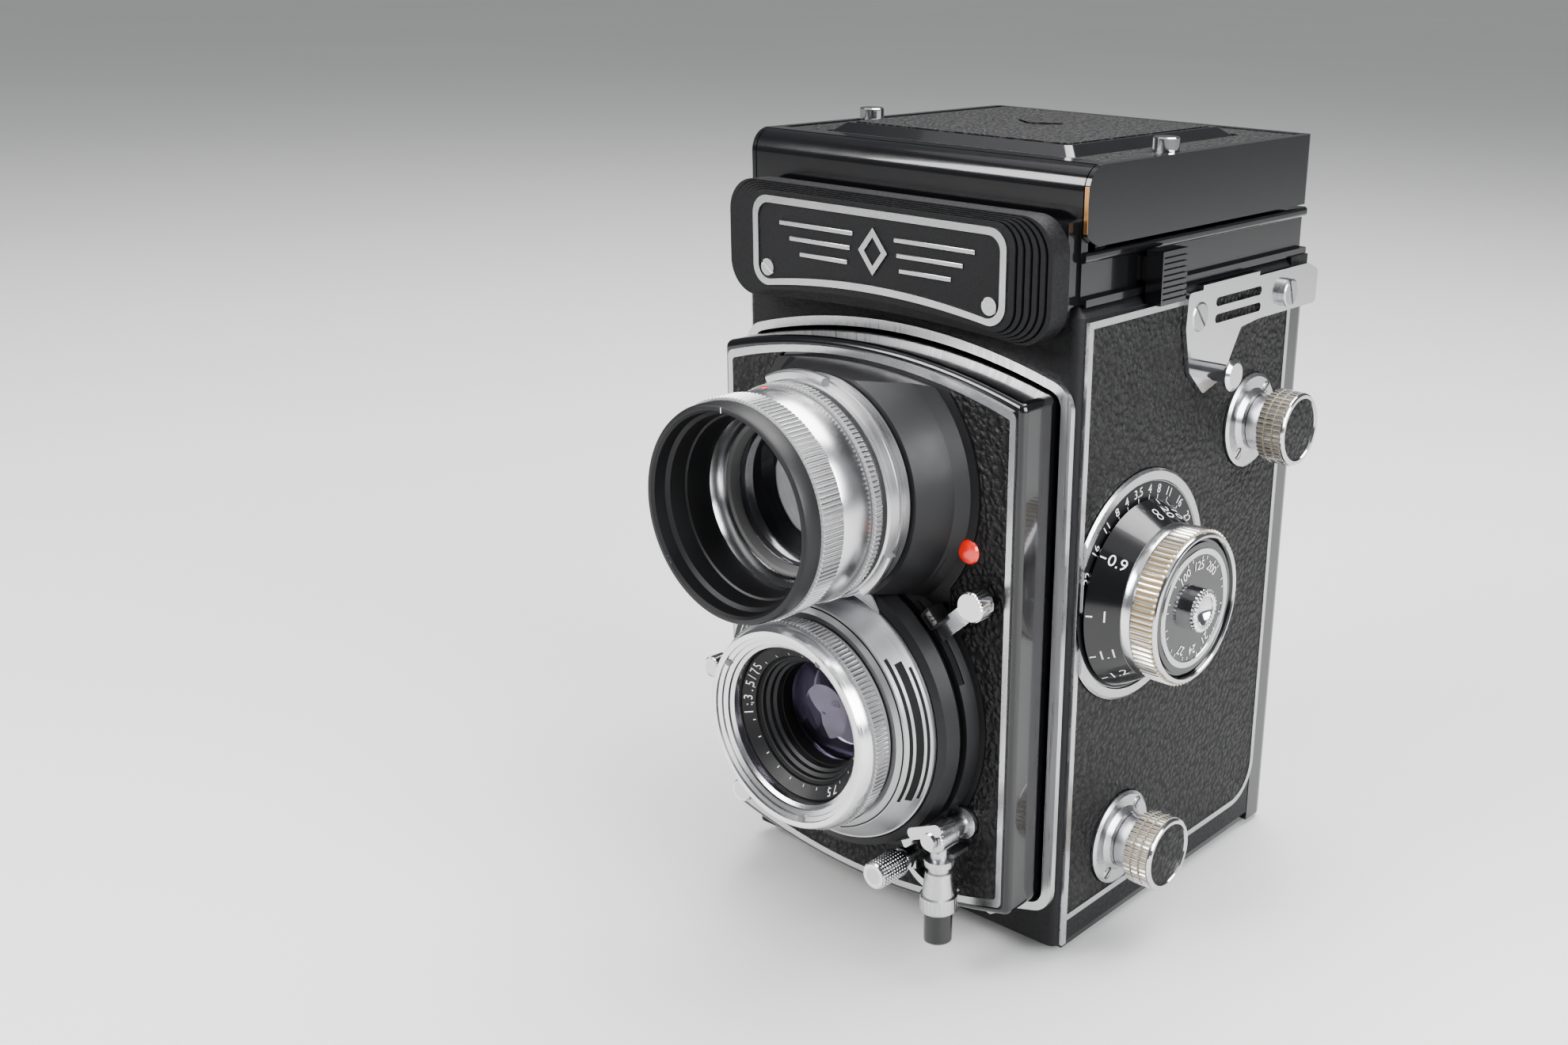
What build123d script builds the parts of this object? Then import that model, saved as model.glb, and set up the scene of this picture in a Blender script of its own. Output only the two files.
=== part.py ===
from build123d import *
import math
import os

# Twin lens reflex camera for 6 x 6 cm pictures on 120 roll film.
# Millimetres. +X is the focusing-knob side, +Y is the film side, +Z is up.
# The origin is the centre of the tripod socket's mouth, in the plane that the feet stand on.

os.makedirs("parts", exist_ok=True)

# ---------------------------------------------------------------- driving dimensions
LENS_SPACING = 42.0                      # taking lens to viewing lens
TAKING_Z = 45.3                          # height of the taking lens axis
VIEWING_Z = TAKING_Z + LENS_SPACING

BODY_HALF_WIDTH = 37.4
BODY_FRONT = -32.5
BODY_REAR = 36.0
BODY_BOTTOM = 3.1
BODY_TOP = 119.5
WALL = 3.0
FRONT_WALL = 2.2
COVERING = 0.7                           # thickness of leatherette and side trim

FILM_PLANE = 36.0
PICTURE = 56.0                           # side of the square picture
MIRROR_Y = -6.5                          # where the viewing axis meets the mirror
MIRROR_CENTRE_Y = -4.0                   # middle of the mirror's length
SPOOL_HALF_LENGTH = 31.8
SPOOL_FLANGE_R = 12.0
SUPPLY_AXIS = (-14.0, 18.5)              # (y, z)
TAKEUP_AXIS = (22.9, 90.8)

FOCUS_AXIS = (-13.6, 66.8)               # (y, z)
STANDARD_TRAVEL = 6.8                    # infinity to 0.9 m with a 75 mm lens

PANEL_HALF_WIDTH = 34.0
PANEL_FRONT = -42.2
PANEL_REAR = -30.6
PANEL_LOW = 12.7                         # height of the panel's lower corners
PANEL_HIGH = 105.0                       # height of its upper corners
PANEL_RISE = 4.8                         # how far the arched ends stand past the corners
PANEL_WALL = 0.9

LID_HALF_WIDTH = 37.0
LID_HINGE = (-24.8, 138.6)               # (y, z)
LID_LEAD = 3.1                           # reach of the lid plate in front of its hinge
LID_SWEEP = 4.55                         # clearance radius of the lid plate about its hinge
LID_TOP = 141.8
LID_SKIRT = 129.0                        # lower edge of the lid's sides
LID_REAR = 41.4
DOOR_HINGE = (44.0, 113.6)               # (y, z)
DOOR_REAR = 43.5

# Shafts, knobs and dials; axes along X are given as (y, z).
SHAFT_CLEARANCE = 0.05
SPINDLE_R = 2.4
PIVOT_R = 2.0
KNOB_FACE_X = 49.0                       # end of the spool knobs
FLANGE_R = 8.9
FLANGE_SCREW_RADIUS = 7.1
FLANGE_SCREW_ANGLES = (52, 232)
SCREW_R = 1.15
SCALE_AXIS = (-12.6, 67.8)
SCALE_R = 21.0
WHEEL_FACE_X = 51.1                      # rim of the focusing wheel
RACK_X = (32.9, 34.0)
RACK_HALF_HEIGHT = 7.0
LEFT_SEAT_R = 8.9
COUNTER_AXIS = (4.0, 67.0)
COUNTER_R = 9.5
ROLLER_R = 2.2
LOWER_ROLLER_Z = TAKING_Z - PICTURE / 2 - 7.6
UPPER_ROLLER_Z = TAKING_Z + PICTURE / 2 + 4.8

# Side coverings and strap lugs, outlines in (y, z).
SIDE_FRONT = -31.0
SIDE_REAR = 35.9
SIDE_LOW = 7.9
SIDE_HIGH = 117.3
TRIM_WIDTH = 1.2
LUG_X = BODY_HALF_WIDTH + COVERING
LUG_SCREWS = [(1.4, 113.6), (31.5, 113.8)]
LUG_SCREW_R = 2.6
STUD_PLACE = (4.6, 103.6)
STUD_R = 1.6

# Back door, base and tripod socket.
KNUCKLE_R = 1.5
HINGE_PIN_R = 0.75
BODY_KNUCKLE_X = (12.0, 22.0)
SOCKET_MOUTH_R = 5.6
SOCKET_SLOPE = 2.6
SOCKET_STEM_R = 5.0
THREAD_R = 3.175                         # 1/4 inch tripod thread
LATCH_PIVOT_Y = -22.0

# Finder, nameplate and folding hood.
BASE_HALF_WIDTH = 36.5
BASE_REAR = 42.4
BASE_TOP = 128.2
GLASS_Z = 121.3
CAP_FRONT = -31.2
NAMEPLATE_FACE = -39.9
NAMEPLATE_STEPS = 5
DOOR_WINDOW = ((-15.0, 15.0), (-16.0, 28.0))
SKIRT_REACH = 10.1                       # keeps the skirts clear of the finder frame as the lid turns
LEAF_HINGE_X = 31.6
LEAF_Z = 130.4
LEAF_WIDTH = 18.0
REAR_LEAF_Y = 37.4
MAGNIFIER_HINGE = (33.0, 137.6)          # (y, z)
LID_PIN_PLACE = (33.0, -3.2)             # (x, y)
FINDER_DOOR_HINGE = (30.4, 142.2)        # (y, z)

# Mask, shutter and the controls round it; places on the panel are (x, z).
VIEWING_SHIELD_R = 26.0
TAKING_SHIELD_R = 28.5
SPEED_KNOB = (28.0, 70.8)
APERTURE_KNOB = (-29.8, 45.0)
TIMER_KNOB = (-22.6, 21.8)
COCKING_KNOB = (14.6, 19.4)
LEVER_ARM_Y = PANEL_FRONT - 2.6          # rear face of the setting levers' arms
COCKING_ARM_Y = PANEL_FRONT - 2.0        # rear face of the cocking lever's arm
RELEASE_X = 24.3
RELEASE_Z = 18.6
RELEASE_Y = -49.6
CONTACT_PLACE = (RELEASE_X, RELEASE_Z + 9.8)


# ---------------------------------------------------------------- shape helpers
def block(x, y, z):
    """Box between the low and high values given for each axis."""
    centre = ((x[0] + x[1]) / 2, (y[0] + y[1]) / 2, (z[0] + z[1]) / 2)
    return Pos(*centre) * Box(x[1] - x[0], y[1] - y[0], z[1] - z[0])


def turned_x(y, z, outline):
    """Solid of revolution about an X axis; outline points are (radius, x)."""
    plane = Plane(origin=(0, y, z), x_dir=(0, 1, 0), z_dir=(1, 0, 0))
    return plane * turned(outline)


def turned_y(x, z, outline):
    """Solid of revolution about a Y axis; outline points are (radius, y)."""
    plane = Plane(origin=(x, 0, z), x_dir=(1, 0, 0), z_dir=(0, 1, 0))
    return plane * turned(outline)


def turned_z(x, y, outline):
    """Solid of revolution about a Z axis; outline points are (radius, z)."""
    return Pos(x, y, 0) * turned(outline)


def turned(outline):
    points = [(radius, 0, height) for radius, height in outline]
    return revolve(make_face(Polyline(*points, close=True)), Axis.Z, 360)


def ring(inner, outer, low, high):
    """Outline of a plain tube, or of a rod when inner is 0."""
    return [(inner, low), (outer, low), (outer, high), (inner, high)]


def arched_face(half_width, low, high, rise, corner):
    """Upright face in X and Z with bulging top and bottom edges and rounded corners."""
    outline = [
        Line((-half_width, low), (-half_width, high)),
        ThreePointArc((-half_width, high), (0, high + rise), (half_width, high)),
        Line((half_width, high), (half_width, low)),
        ThreePointArc((half_width, low), (0, low - rise), (-half_width, low)),
    ]
    face = make_face(Curve() + outline)
    return fillet(face.vertices(), corner) if corner else face


def upright(face, front, rear):
    """Extrude a face drawn in X and Z from y = rear forward to y = front."""
    return extrude(Plane.XZ.offset(-rear) * face, rear - front)


def sideways(face, low, high):
    """Extrude a face drawn in Y and Z from x = low to x = high."""
    return extrude(Plane.YZ.offset(low) * face, high - low)


def panel_outline(grow, corner=1.6):
    """The arched outline of the lens panel, grown or shrunk all round."""
    return arched_face(PANEL_HALF_WIDTH + grow, PANEL_LOW - grow, PANEL_HIGH + grow, PANEL_RISE, corner)


def both_sides(shape):
    """A shape and its mirror image in the camera's middle plane."""
    return Compound(children=[shape, mirror(shape, Plane.YZ)])


def save(shape, name):
    solids = shape.solids()
    part = solids[0] if len(solids) == 1 else Compound(children=list(solids))
    part.label = name
    export_step(part, f"parts/{name}.step")


# ---------------------------------------------------------------- body
def body_casting():
    """Die-cast body: two side walls, front wall, roof and floor, open at the back."""
    outer = block((-BODY_HALF_WIDTH, BODY_HALF_WIDTH), (BODY_FRONT, BODY_REAR), (BODY_BOTTOM, BODY_TOP))
    upright_edges = outer.edges().filter_by(Axis.Z).group_by(Axis.Y)[0]
    outer = fillet(upright_edges, 1.8)
    roof_edges = outer.faces().sort_by(Axis.Z)[-1].edges()
    outer = chamfer([edge for edge in roof_edges if abs(edge.center().X) > BODY_HALF_WIDTH - 1], 1.6)
    inside = BODY_HALF_WIDTH - WALL
    depth = (BODY_FRONT + FRONT_WALL, BODY_REAR + 1)
    cavity = block((-inside, inside), depth, (BODY_BOTTOM + 2.2, BODY_TOP - 2.2))
    casting = outer - cavity
    casting -= block((-29.2, 29.2), (-29.5, 27.5), (BODY_TOP - 3, BODY_TOP + 1))
    casting -= upright(panel_outline(0.4), BODY_FRONT - 1, BODY_FRONT + FRONT_WALL)
    casting -= turned_z(0, 0, ring(0, SOCKET_STEM_R + SHAFT_CLEARANCE, 0, 10))
    bearings = [SUPPLY_AXIS, TAKEUP_AXIS, FOCUS_AXIS]
    for y, z in bearings:
        casting -= turned_x(y, z, ring(0, SPINDLE_R + SHAFT_CLEARANCE, inside - 1, BODY_HALF_WIDTH + 1))
    for y, z in (SUPPLY_AXIS, TAKEUP_AXIS):
        casting -= turned_x(y, z, ring(0, SPINDLE_R + SHAFT_CLEARANCE, -BODY_HALF_WIDTH - 1, -inside + 1))
    return casting + rear_roof() + door_knuckles()


def knuckle(low, high):
    y, z = DOOR_HINGE
    return turned_x(y, z, ring(0, KNUCKLE_R, low, high))


def knuckle_bore(low, high):
    y, z = DOOR_HINGE
    return turned_x(y, z, ring(0, HINGE_PIN_R + SHAFT_CLEARANCE, low, high))


def door_knuckles():
    """Two hinge knuckles on the rear edge of the roof."""
    y, z = DOOR_HINGE
    low, high = BODY_KNUCKLE_X
    arm = block((low, high), (40.2, y), (z + 0.3, z + KNUCKLE_R))
    riser = block((low, high), (40.2, BASE_REAR), (z + 0.3, BODY_TOP - 2))
    one = (arm + riser + knuckle(low, high)) - knuckle_bore(low - 1, high + 1)
    return one + mirror(one, Plane.YZ)


def rear_roof():
    """Roof ledge that carries the finder behind the body shell."""
    return block((-BODY_HALF_WIDTH, BODY_HALF_WIDTH), (BODY_REAR, BASE_REAR), (116.4, BODY_TOP))


def light_sleeve():
    """Sleeve that reaches into the lens panel, with the flange that closes it to the body front."""
    clear = -PANEL_WALL - 0.35
    sleeve_rear = BODY_FRONT + FRONT_WALL + 0.05
    outer = upright(panel_outline(clear, 1.0), PANEL_FRONT + 2.2, sleeve_rear + 0.8)
    inner = upright(panel_outline(clear - 0.7, 0.6), PANEL_FRONT + 1, sleeve_rear + 2)
    inside = BODY_HALF_WIDTH - WALL - 0.05
    flange = block((-inside, inside), (sleeve_rear, sleeve_rear + 0.8), (BODY_BOTTOM + 2.3, 116.8))
    rack_reach = RACK_HALF_HEIGHT + 0.5
    rack_way = block((RACK_X[0] - 0.1, inside + 1), (sleeve_rear - 1, sleeve_rear + 2),
                     (FOCUS_AXIS[1] - rack_reach, FOCUS_AXIS[1] + rack_reach))
    return outer + flange - inner - rack_way - mirror(rack_way, Plane.YZ)


def film_gate():
    """Frame round the picture, with the tapering light box in front of it and the film rails."""
    half = PICTURE / 2
    gate_front = FILM_PLANE - 2.0
    plate = block((-34.3, 34.3), (gate_front, FILM_PLANE), (TAKING_Z - half - 5, TAKING_Z + half + 2.2))
    cone_outer = loft_between(half + 1.0, gate_front + 0.1, 20.5, -1.5)
    cone_inner = loft_between(half, FILM_PLANE + 0.1, 19.3, -2.5)
    return plate + cone_outer - cone_inner


def loft_between(rear_half, rear_y, front_half, front_y):
    """Square tapering block round the taking lens axis."""
    rear = Plane.XZ.offset(-rear_y) * Pos(0, TAKING_Z) * Rectangle(2 * rear_half, 2 * rear_half)
    front = Plane.XZ.offset(-front_y) * Pos(0, TAKING_Z) * Rectangle(2 * front_half, 2 * front_half)
    return loft([rear, front])


def mirror_glass():
    """Reflex mirror at 45 degrees, above and in front of the picture's light path."""
    tilt = Pos(0, MIRROR_CENTRE_Y, VIEWING_Z + MIRROR_CENTRE_Y - MIRROR_Y) * Rot(45, 0, 0)
    return tilt * Pos(0, 0, -0.5) * Box(58.0, 66.0, 1.0)


def mirror_rails():
    """Two side rails that hold the mirror's edges, fixed to the side walls."""
    tilt = Pos(0, MIRROR_CENTRE_Y, VIEWING_Z + MIRROR_CENTRE_Y - MIRROR_Y) * Rot(45, 0, 0)
    rail = tilt * Pos(30.9, 0, -0.5) * Box(3.4, 62, 3.0)
    wall_tab = tilt * Pos(33.4, 20, -0.5) * Box(1.9, 16, 3.0)
    groove = tilt * Pos(0, 0, -0.5) * Box(58.2, 66.2, 1.1)
    return both_sides(rail + wall_tab - groove)


def light_box():
    """Fixed inner box: the sleeve inside the lens panel, the film gate and the mirror's rails."""
    pieces = [light_sleeve(), film_gate(), mirror_rails()]
    return Compound(children=[solid for piece in pieces for solid in piece.solids()])


def front_arc_frame():
    """Brushed aluminium frame round the opening that the lens panel slides in."""
    outer = arched_face(37.0, 11.0, 106.2, 5.9, 5.0)
    inner = arched_face(34.9, 12.0, 105.2, 5.2, 3.0)
    return upright(outer, BODY_FRONT - 1.1, BODY_FRONT) - upright(inner, BODY_FRONT - 2, BODY_FRONT + 1)


def side_outline(inset, rear_corner):
    """Rectangle in Y and Z with a large rounded lower rear corner."""
    width = SIDE_REAR - SIDE_FRONT - 2 * inset
    height = SIDE_HIGH - SIDE_LOW - 2 * inset
    face = Pos((SIDE_FRONT + SIDE_REAR) / 2, (SIDE_LOW + SIDE_HIGH) / 2) * Rectangle(width, height)
    low_rear = face.vertices().group_by(Axis.Y)[0].sort_by(Axis.X)[-1]
    face = fillet(low_rear, rear_corner)
    return face


def side_trims():
    """Bright frames round the side coverings; the front leg runs on down to the floor edge."""
    x = BODY_HALF_WIDTH
    frame = side_outline(0, 8.0) - side_outline(TRIM_WIDTH, 6.8)
    tail = Pos(SIDE_FRONT + TRIM_WIDTH / 2, SIDE_LOW - 2.3) * Rectangle(TRIM_WIDTH, 4.8)
    frame = frame + tail
    return both_sides(sideways(frame, x, x + COVERING))


def side_leathers():
    """Pebbled leatherette on both sides, cut out round the spool flanges and dials."""
    x = BODY_HALF_WIDTH
    face = side_outline(TRIM_WIDTH + 0.05, 6.75)
    right = sideways(face, x, x + COVERING - 0.1)
    left = mirror(right, Plane.YZ)
    for y, z in (SUPPLY_AXIS, TAKEUP_AXIS):
        right -= turned_x(y, z, ring(0, FLANGE_R + 0.15, x - 1, x + 2))
        left -= turned_x(y, z, ring(0, LEFT_SEAT_R + 0.15, -x - 2, -x + 1))
    right -= turned_x(SCALE_AXIS[0], SCALE_AXIS[1], ring(0, SCALE_R + 0.15, x - 1, x + 2))
    left -= turned_x(COUNTER_AXIS[0], COUNTER_AXIS[1], ring(0, COUNTER_R + 0.2, -x - 2, -x + 1))
    return Compound(children=[right, left])


# ---------------------------------------------------------------- right side: knobs and dials


def spool_flanges():
    """Bearing flanges of the two spool knobs, each screwed to the body."""
    flanges = []
    for y, z in (SUPPLY_AXIS, TAKEUP_AXIS):
        outline = [
            (SPINDLE_R + SHAFT_CLEARANCE, BODY_HALF_WIDTH),
            (FLANGE_R, BODY_HALF_WIDTH),
            (FLANGE_R, BODY_HALF_WIDTH + 1.1),
            (FLANGE_R - 0.6, BODY_HALF_WIDTH + 1.5),
            (6.2, BODY_HALF_WIDTH + 1.5),
            (5.3, BODY_HALF_WIDTH + 2.3),
            (5.3, BODY_HALF_WIDTH + 3.0),
            (SPINDLE_R + SHAFT_CLEARANCE, BODY_HALF_WIDTH + 3.0),
        ]
        flange = turned_x(y, z, outline)
        for screw_y, screw_z in screw_places(y, z, FLANGE_SCREW_RADIUS, FLANGE_SCREW_ANGLES):
            hole = ring(0, SCREW_R + 0.03, BODY_HALF_WIDTH + 0.9, BODY_HALF_WIDTH + 3)
            flange -= turned_x(screw_y, screw_z, hole)
        flanges.append(flange)
    return Compound(children=flanges)


def screw_places(y, z, radius, angles):
    return [(y + radius * math.cos(math.radians(a)), z + radius * math.sin(math.radians(a))) for a in angles]


def spool_knob(axis):
    """Pull-out knob with a satin neck, three knurled bands and a dished end for a leather disc."""
    y, z = axis
    neck = BODY_HALF_WIDTH + 3.1
    band = neck + 3.0
    outline = [(0, 33.2), (SPINDLE_R, 33.2), (SPINDLE_R, neck)]
    outline += [(5.2, neck), (5.2, neck + 1.6), (5.9, band - 0.2)]
    for _ in range(3):
        outline += [(6.9, band), (6.9, band + 1.5), (6.6, band + 1.6)]
        band += 1.7
    outline += [
        (6.4, KNOB_FACE_X),
        (5.75, KNOB_FACE_X),
        (5.75, KNOB_FACE_X - 0.5),
        (0, KNOB_FACE_X - 0.5),
    ]
    knob = turned_x(y, z, outline)
    key = block((SPOOL_HALF_LENGTH - 1.6, 33.5), (y - 1.9, y + 1.9), (z - 0.7, z + 0.7))
    return knob + key


def focus_scale():
    """Depth-of-field plate: an off-centre disc with a raised rim, cut off at the front trim."""
    y, z = SCALE_AXIS
    x = BODY_HALF_WIDTH
    outline = [
        (0, x),
        (SCALE_R, x),
        (SCALE_R, x + 0.9),
        (SCALE_R - 0.5, x + 1.3),
        (SCALE_R - 2.0, x + 1.3),
        (SCALE_R - 2.2, x + 1.0),
        (0, x + 1.0),
    ]
    plate = turned_x(y, z, outline)
    plate -= block((x - 1, x + 3), (-60, SIDE_FRONT + TRIM_WIDTH + 0.05), (0, 130))
    bore = turned_x(FOCUS_AXIS[0], FOCUS_AXIS[1], ring(0, 6.5, x - 1, x + 3))
    return plate - bore


def focus_knob():
    """Focusing knob: cone-shaped distance drum, satin ring, coarse wheel with a recessed face."""
    y, z = FOCUS_AXIS
    x = BODY_HALF_WIDTH + 1.4
    face = WHEEL_FACE_X
    outline = [
        (0, 31.5),
        (SPINDLE_R, 31.5),
        (SPINDLE_R, x),
        (16.6, x),
        (16.9, x + 0.4),
        (13.6, x + 5.6),
        (13.1, x + 5.8),
        (13.1, x + 7.1),
        (13.9, x + 7.6),
        (13.9, face - 0.9),
        (13.2, face),
        (12.3, face),
        (11.9, face - 0.9),
        (3.8, face - 0.9),
        (3.8, face - 1.7),
        (0, face - 1.7),
    ]
    return turned_x(y, z, outline)


def film_speed_dial():
    """Reminder disc for film speed, with a serrated hub, set in the focusing knob."""
    y, z = FOCUS_AXIS
    face = WHEEL_FACE_X
    outline = [
        (0, face - 1.6),
        (3.75, face - 1.6),
        (3.75, face - 0.85),
        (11.6, face - 0.85),
        (11.6, face - 0.55),
        (4.4, face - 0.55),
        (3.9, face + 0.1),
        (3.9, face + 1.8),
        (2.6, face + 1.8),
        (2.6, face + 0.3),
        (0, face + 0.3),
    ]
    return turned_x(y, z, outline)


def focus_rack():
    """Slotted arm that carries the lens panel, running back past the focusing spindle."""
    y, z = FOCUS_AXIS
    arm = block(RACK_X, (PANEL_REAR - 0.1, y + 13.5), (z - RACK_HALF_HEIGHT, z + RACK_HALF_HEIGHT))
    slot = block((30, 36), (y - 3.2, y + STANDARD_TRAVEL + 3.2), (z - 3, z + 3))
    return arm - slot


# ---------------------------------------------------------------- strap lugs and screws


def lug_plate():
    """Chrome strap lug: an upper arm with two long slots, a lower arm, and an end tab."""
    outline = Polyline(
        (-2.6, 118.2),
        (22.0, 118.2),
        (40.0, 118.2),
        (44.0, 116.6),
        (44.0, 110.2),
        (22.0, 110.2),
        (16.0, 109.6),
        (10.6, 101.2),
        (4.0, 99.4),
        (-1.0, 104.0),
        (-3.0, 112.0),
        close=True,
    )
    face = fillet(make_face(outline).vertices(), 1.1)
    for z in (112.4, 115.4):
        face -= Pos(14.6, z) * SlotOverall(16.0, 1.6)
    plate = sideways(face, LUG_X, LUG_X + 0.9)
    flange = block((LUG_X - 0.6, LUG_X + 0.9), (2.0, 21.5), (118.2, 119.0))
    for y, z in LUG_SCREWS:
        plate -= turned_x(y, z, ring(0, LUG_SCREW_R + 0.03, LUG_X - 1, LUG_X + 3))
    return plate + flange


def strap_stud():
    """Mushroom-headed stud that holds the strap's claw."""
    y, z = STUD_PLACE
    outline = [
        (0, LUG_X + 0.9),
        (STUD_R, LUG_X + 0.9),
        (STUD_R, LUG_X + 5.6),
        (2.9, LUG_X + 6.0),
        (2.9, LUG_X + 6.5),
        (2.2, LUG_X + 7.0),
        (0, LUG_X + 7.0),
    ]
    return turned_x(y, z, outline)


def strap_lugs():
    """Both strap lugs with their studs."""
    right = [lug_plate(), strap_stud()]
    return Compound(children=right + [mirror(part, Plane.YZ) for part in right])


def slotted_screw_x(y, z, radius, low, high, slot_angle):
    """Slotted screw head with its axis along X."""
    head = turned_x(y, z, [(0, low), (radius, low), (radius, high - 0.2), (radius - 0.3, high), (0, high)])
    slot = Pos(high, y, z) * Rot(slot_angle, 0, 0) * Box(0.8, 2 * radius + 1, 0.5)
    return head - slot


def slotted_screws():
    """Every slotted screw that shows: lugs, spool flanges and nameplate."""
    screws = []
    for index, (y, z) in enumerate(LUG_SCREWS):
        top = LUG_X + (1.1, 2.3)[index]
        head = slotted_screw_x(y, z, LUG_SCREW_R, LUG_X, top, (130, 110)[index])
        screws += [head, mirror(head, Plane.YZ)]
    for y, z in (SUPPLY_AXIS, TAKEUP_AXIS):
        for place in screw_places(y, z, FLANGE_SCREW_RADIUS, FLANGE_SCREW_ANGLES):
            base = BODY_HALF_WIDTH + 0.9
            screws.append(slotted_screw_x(place[0], place[1], SCREW_R, base, base + 0.7, 40))
    for side in (-1, 1):
        head = turned_y(side * 24.7, 119.4, ring(0, 1.5, NAMEPLATE_FACE - 0.3, NAMEPLATE_FACE))
        slot = Pos(side * 24.7, NAMEPLATE_FACE - 0.3, 119.4) * Rot(0, 35, 0) * Box(4, 0.4, 0.5)
        screws.append(head - slot)
    return Compound(children=screws)


# ---------------------------------------------------------------- left side: winding knob and counter


def left_bosses():
    """Round bosses on the winding side: winding knob seat, supply spool cap and counter window frame."""
    x = BODY_HALF_WIDTH
    y, z = TAKEUP_AXIS
    seat = turned_x(y, z, ring(SPINDLE_R + SHAFT_CLEARANCE, LEFT_SEAT_R, -x - 1.6, -x))
    y, z = SUPPLY_AXIS
    pivot_end = -SPOOL_HALF_LENGTH + 1.4
    cap = turned_x(y, z, [(0, -x - 2.2), (8.2, -x - 2.2), (LEFT_SEAT_R, -x - 1.4), (LEFT_SEAT_R, -x),
                          (PIVOT_R, -x), (PIVOT_R, pivot_end), (0, pivot_end)])
    return Compound(children=[seat, cap, counter_bezel()])


def winding_knob():
    """Large film-winding knob on the upper left, with its spindle into the take-up spool."""
    y, z = TAKEUP_AXIS
    x = -BODY_HALF_WIDTH - 1.9
    outline = [
        (0, -33.2),
        (SPINDLE_R, -33.2),
        (SPINDLE_R, x),
        (11.0, x),
        (11.0, x - 1.2),
        (13.4, x - 1.6),
        (13.4, x - 9.6),
        (12.6, x - 10.6),
        (10.8, x - 10.6),
        (10.8, x - 10.0),
        (0, x - 10.0),
    ]
    knob = turned_x(y, z, outline)
    key = block((-33.5, -SPOOL_HALF_LENGTH + 1.6), (y - 1.9, y + 1.9), (z - 0.7, z + 0.7))
    return knob + key


def counter_bezel():
    """Round window frame of the frame counter."""
    y, z = COUNTER_AXIS
    x = -BODY_HALF_WIDTH
    return turned_x(y, z, [(0, x), (COUNTER_R, x), (COUNTER_R, x - 1.2), (8.6, x - 1.7),
                           (7.6, x - 1.7), (7.6, x - 0.5), (0, x - 0.5)])


def counter_disc():
    """Numbered disc that turns behind the counter window."""
    y, z = COUNTER_AXIS
    x = -BODY_HALF_WIDTH
    return turned_x(y, z, ring(0, 7.4, x - 1.1, x - 0.6))


# ---------------------------------------------------------------- film transport
def spool(axis):
    """120 film spool: two flanges on a core, with a slotted end for the key."""
    y, z = axis
    half = SPOOL_HALF_LENGTH
    outline = [
        (0, -half),
        (SPOOL_FLANGE_R, -half),
        (SPOOL_FLANGE_R, -half + 0.8),
        (5.6, -half + 0.8),
        (5.6, half - 0.8),
        (SPOOL_FLANGE_R, half - 0.8),
        (SPOOL_FLANGE_R, half),
        (0, half),
    ]
    body = turned_x(y, z, outline)
    body -= turned_x(y, z, ring(0, PIVOT_R + 0.1, half - 2, half + 1))
    return body - turned_x(y, z, ring(0, PIVOT_R + 0.1, -half - 1, -half + 2))


def film_roller(z):
    """Guide roller beside the film gate, with a thin pivot at each end."""
    y = FILM_PLANE - ROLLER_R - 0.1
    outline = [(0, -34.3), (0.8, -34.3), (0.8, -31.5), (ROLLER_R, -31.5),
               (ROLLER_R, 31.5), (0.8, 31.5), (0.8, 34.3), (0, 34.3)]
    return turned_x(y, z, outline)


def pressure_plate():
    """Flat plate on the back that holds the film against the gate."""
    half = PICTURE / 2 + 3.0
    y = FILM_PLANE + 0.6
    plate = block((-half, half), (y, y + 1.2), (TAKING_Z - half, TAKING_Z + half))
    for x in (-18.0, 18.0):
        plate += turned_y(x, TAKING_Z, ring(0, 1.5, y + 1.2, DOOR_REAR - 2.6))
    return plate


# ---------------------------------------------------------------- back door
def back_door():
    """L-shaped back: rear wall with a shallow rim, floor flap, and the middle hinge knuckle."""
    half = BODY_HALF_WIDTH
    front = BODY_REAR + 0.3
    top = 112.0
    shell = block((-half, half), (front, DOOR_REAR), (1.2, top))
    shell = fillet(shell.edges().filter_by(Axis.Z).group_by(Axis.Y)[-1], 3.0)
    shell -= block((-half + 1.3, half - 1.3), (front - 1, DOOR_REAR - 1.4), (BODY_BOTTOM + 0.3, top - 1.2))
    flap = block((-half + 0.8, half - 0.8), (-29.0, front + 0.4), (1.2, BODY_BOTTOM - 0.3))
    hole_r = SOCKET_MOUTH_R + 0.5
    hole = turned_z(0, 0, [(0, 0), (hole_r, 0), (hole_r + SOCKET_SLOPE * 3, 3.0), (0, 3.0)])
    door = shell + flap - hole
    low, high = -BODY_KNUCKLE_X[0] + 0.3, BODY_KNUCKLE_X[0] - 0.3
    y, z = DOOR_HINGE
    arm = block((low, high), (DOOR_REAR - 1.4, y), (top - 2, z))
    middle = (arm + knuckle(low, high)) - knuckle_bore(low - 1, high + 1)
    relief = block((-23, 23), (40, 48), (top - 1.3, z + 3)) - block((low, high), (39, 49), (top - 3, z + 4))
    return door - relief + middle


def tripod_socket():
    """Coned boss with a 1/4 inch socket, standing out through the floor flap."""
    floor = BODY_BOTTOM
    boss = turned_z(0, 0, [(THREAD_R, 0), (SOCKET_MOUTH_R, 0),
                           (SOCKET_MOUTH_R + SOCKET_SLOPE * floor, floor), (THREAD_R, floor)])
    stem = turned_z(0, 0, [(THREAD_R, floor), (SOCKET_STEM_R, floor), (SOCKET_STEM_R, 7.6),
                           (0, 7.6), (0, 6.6), (THREAD_R, 6.6)])
    return boss + stem


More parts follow.
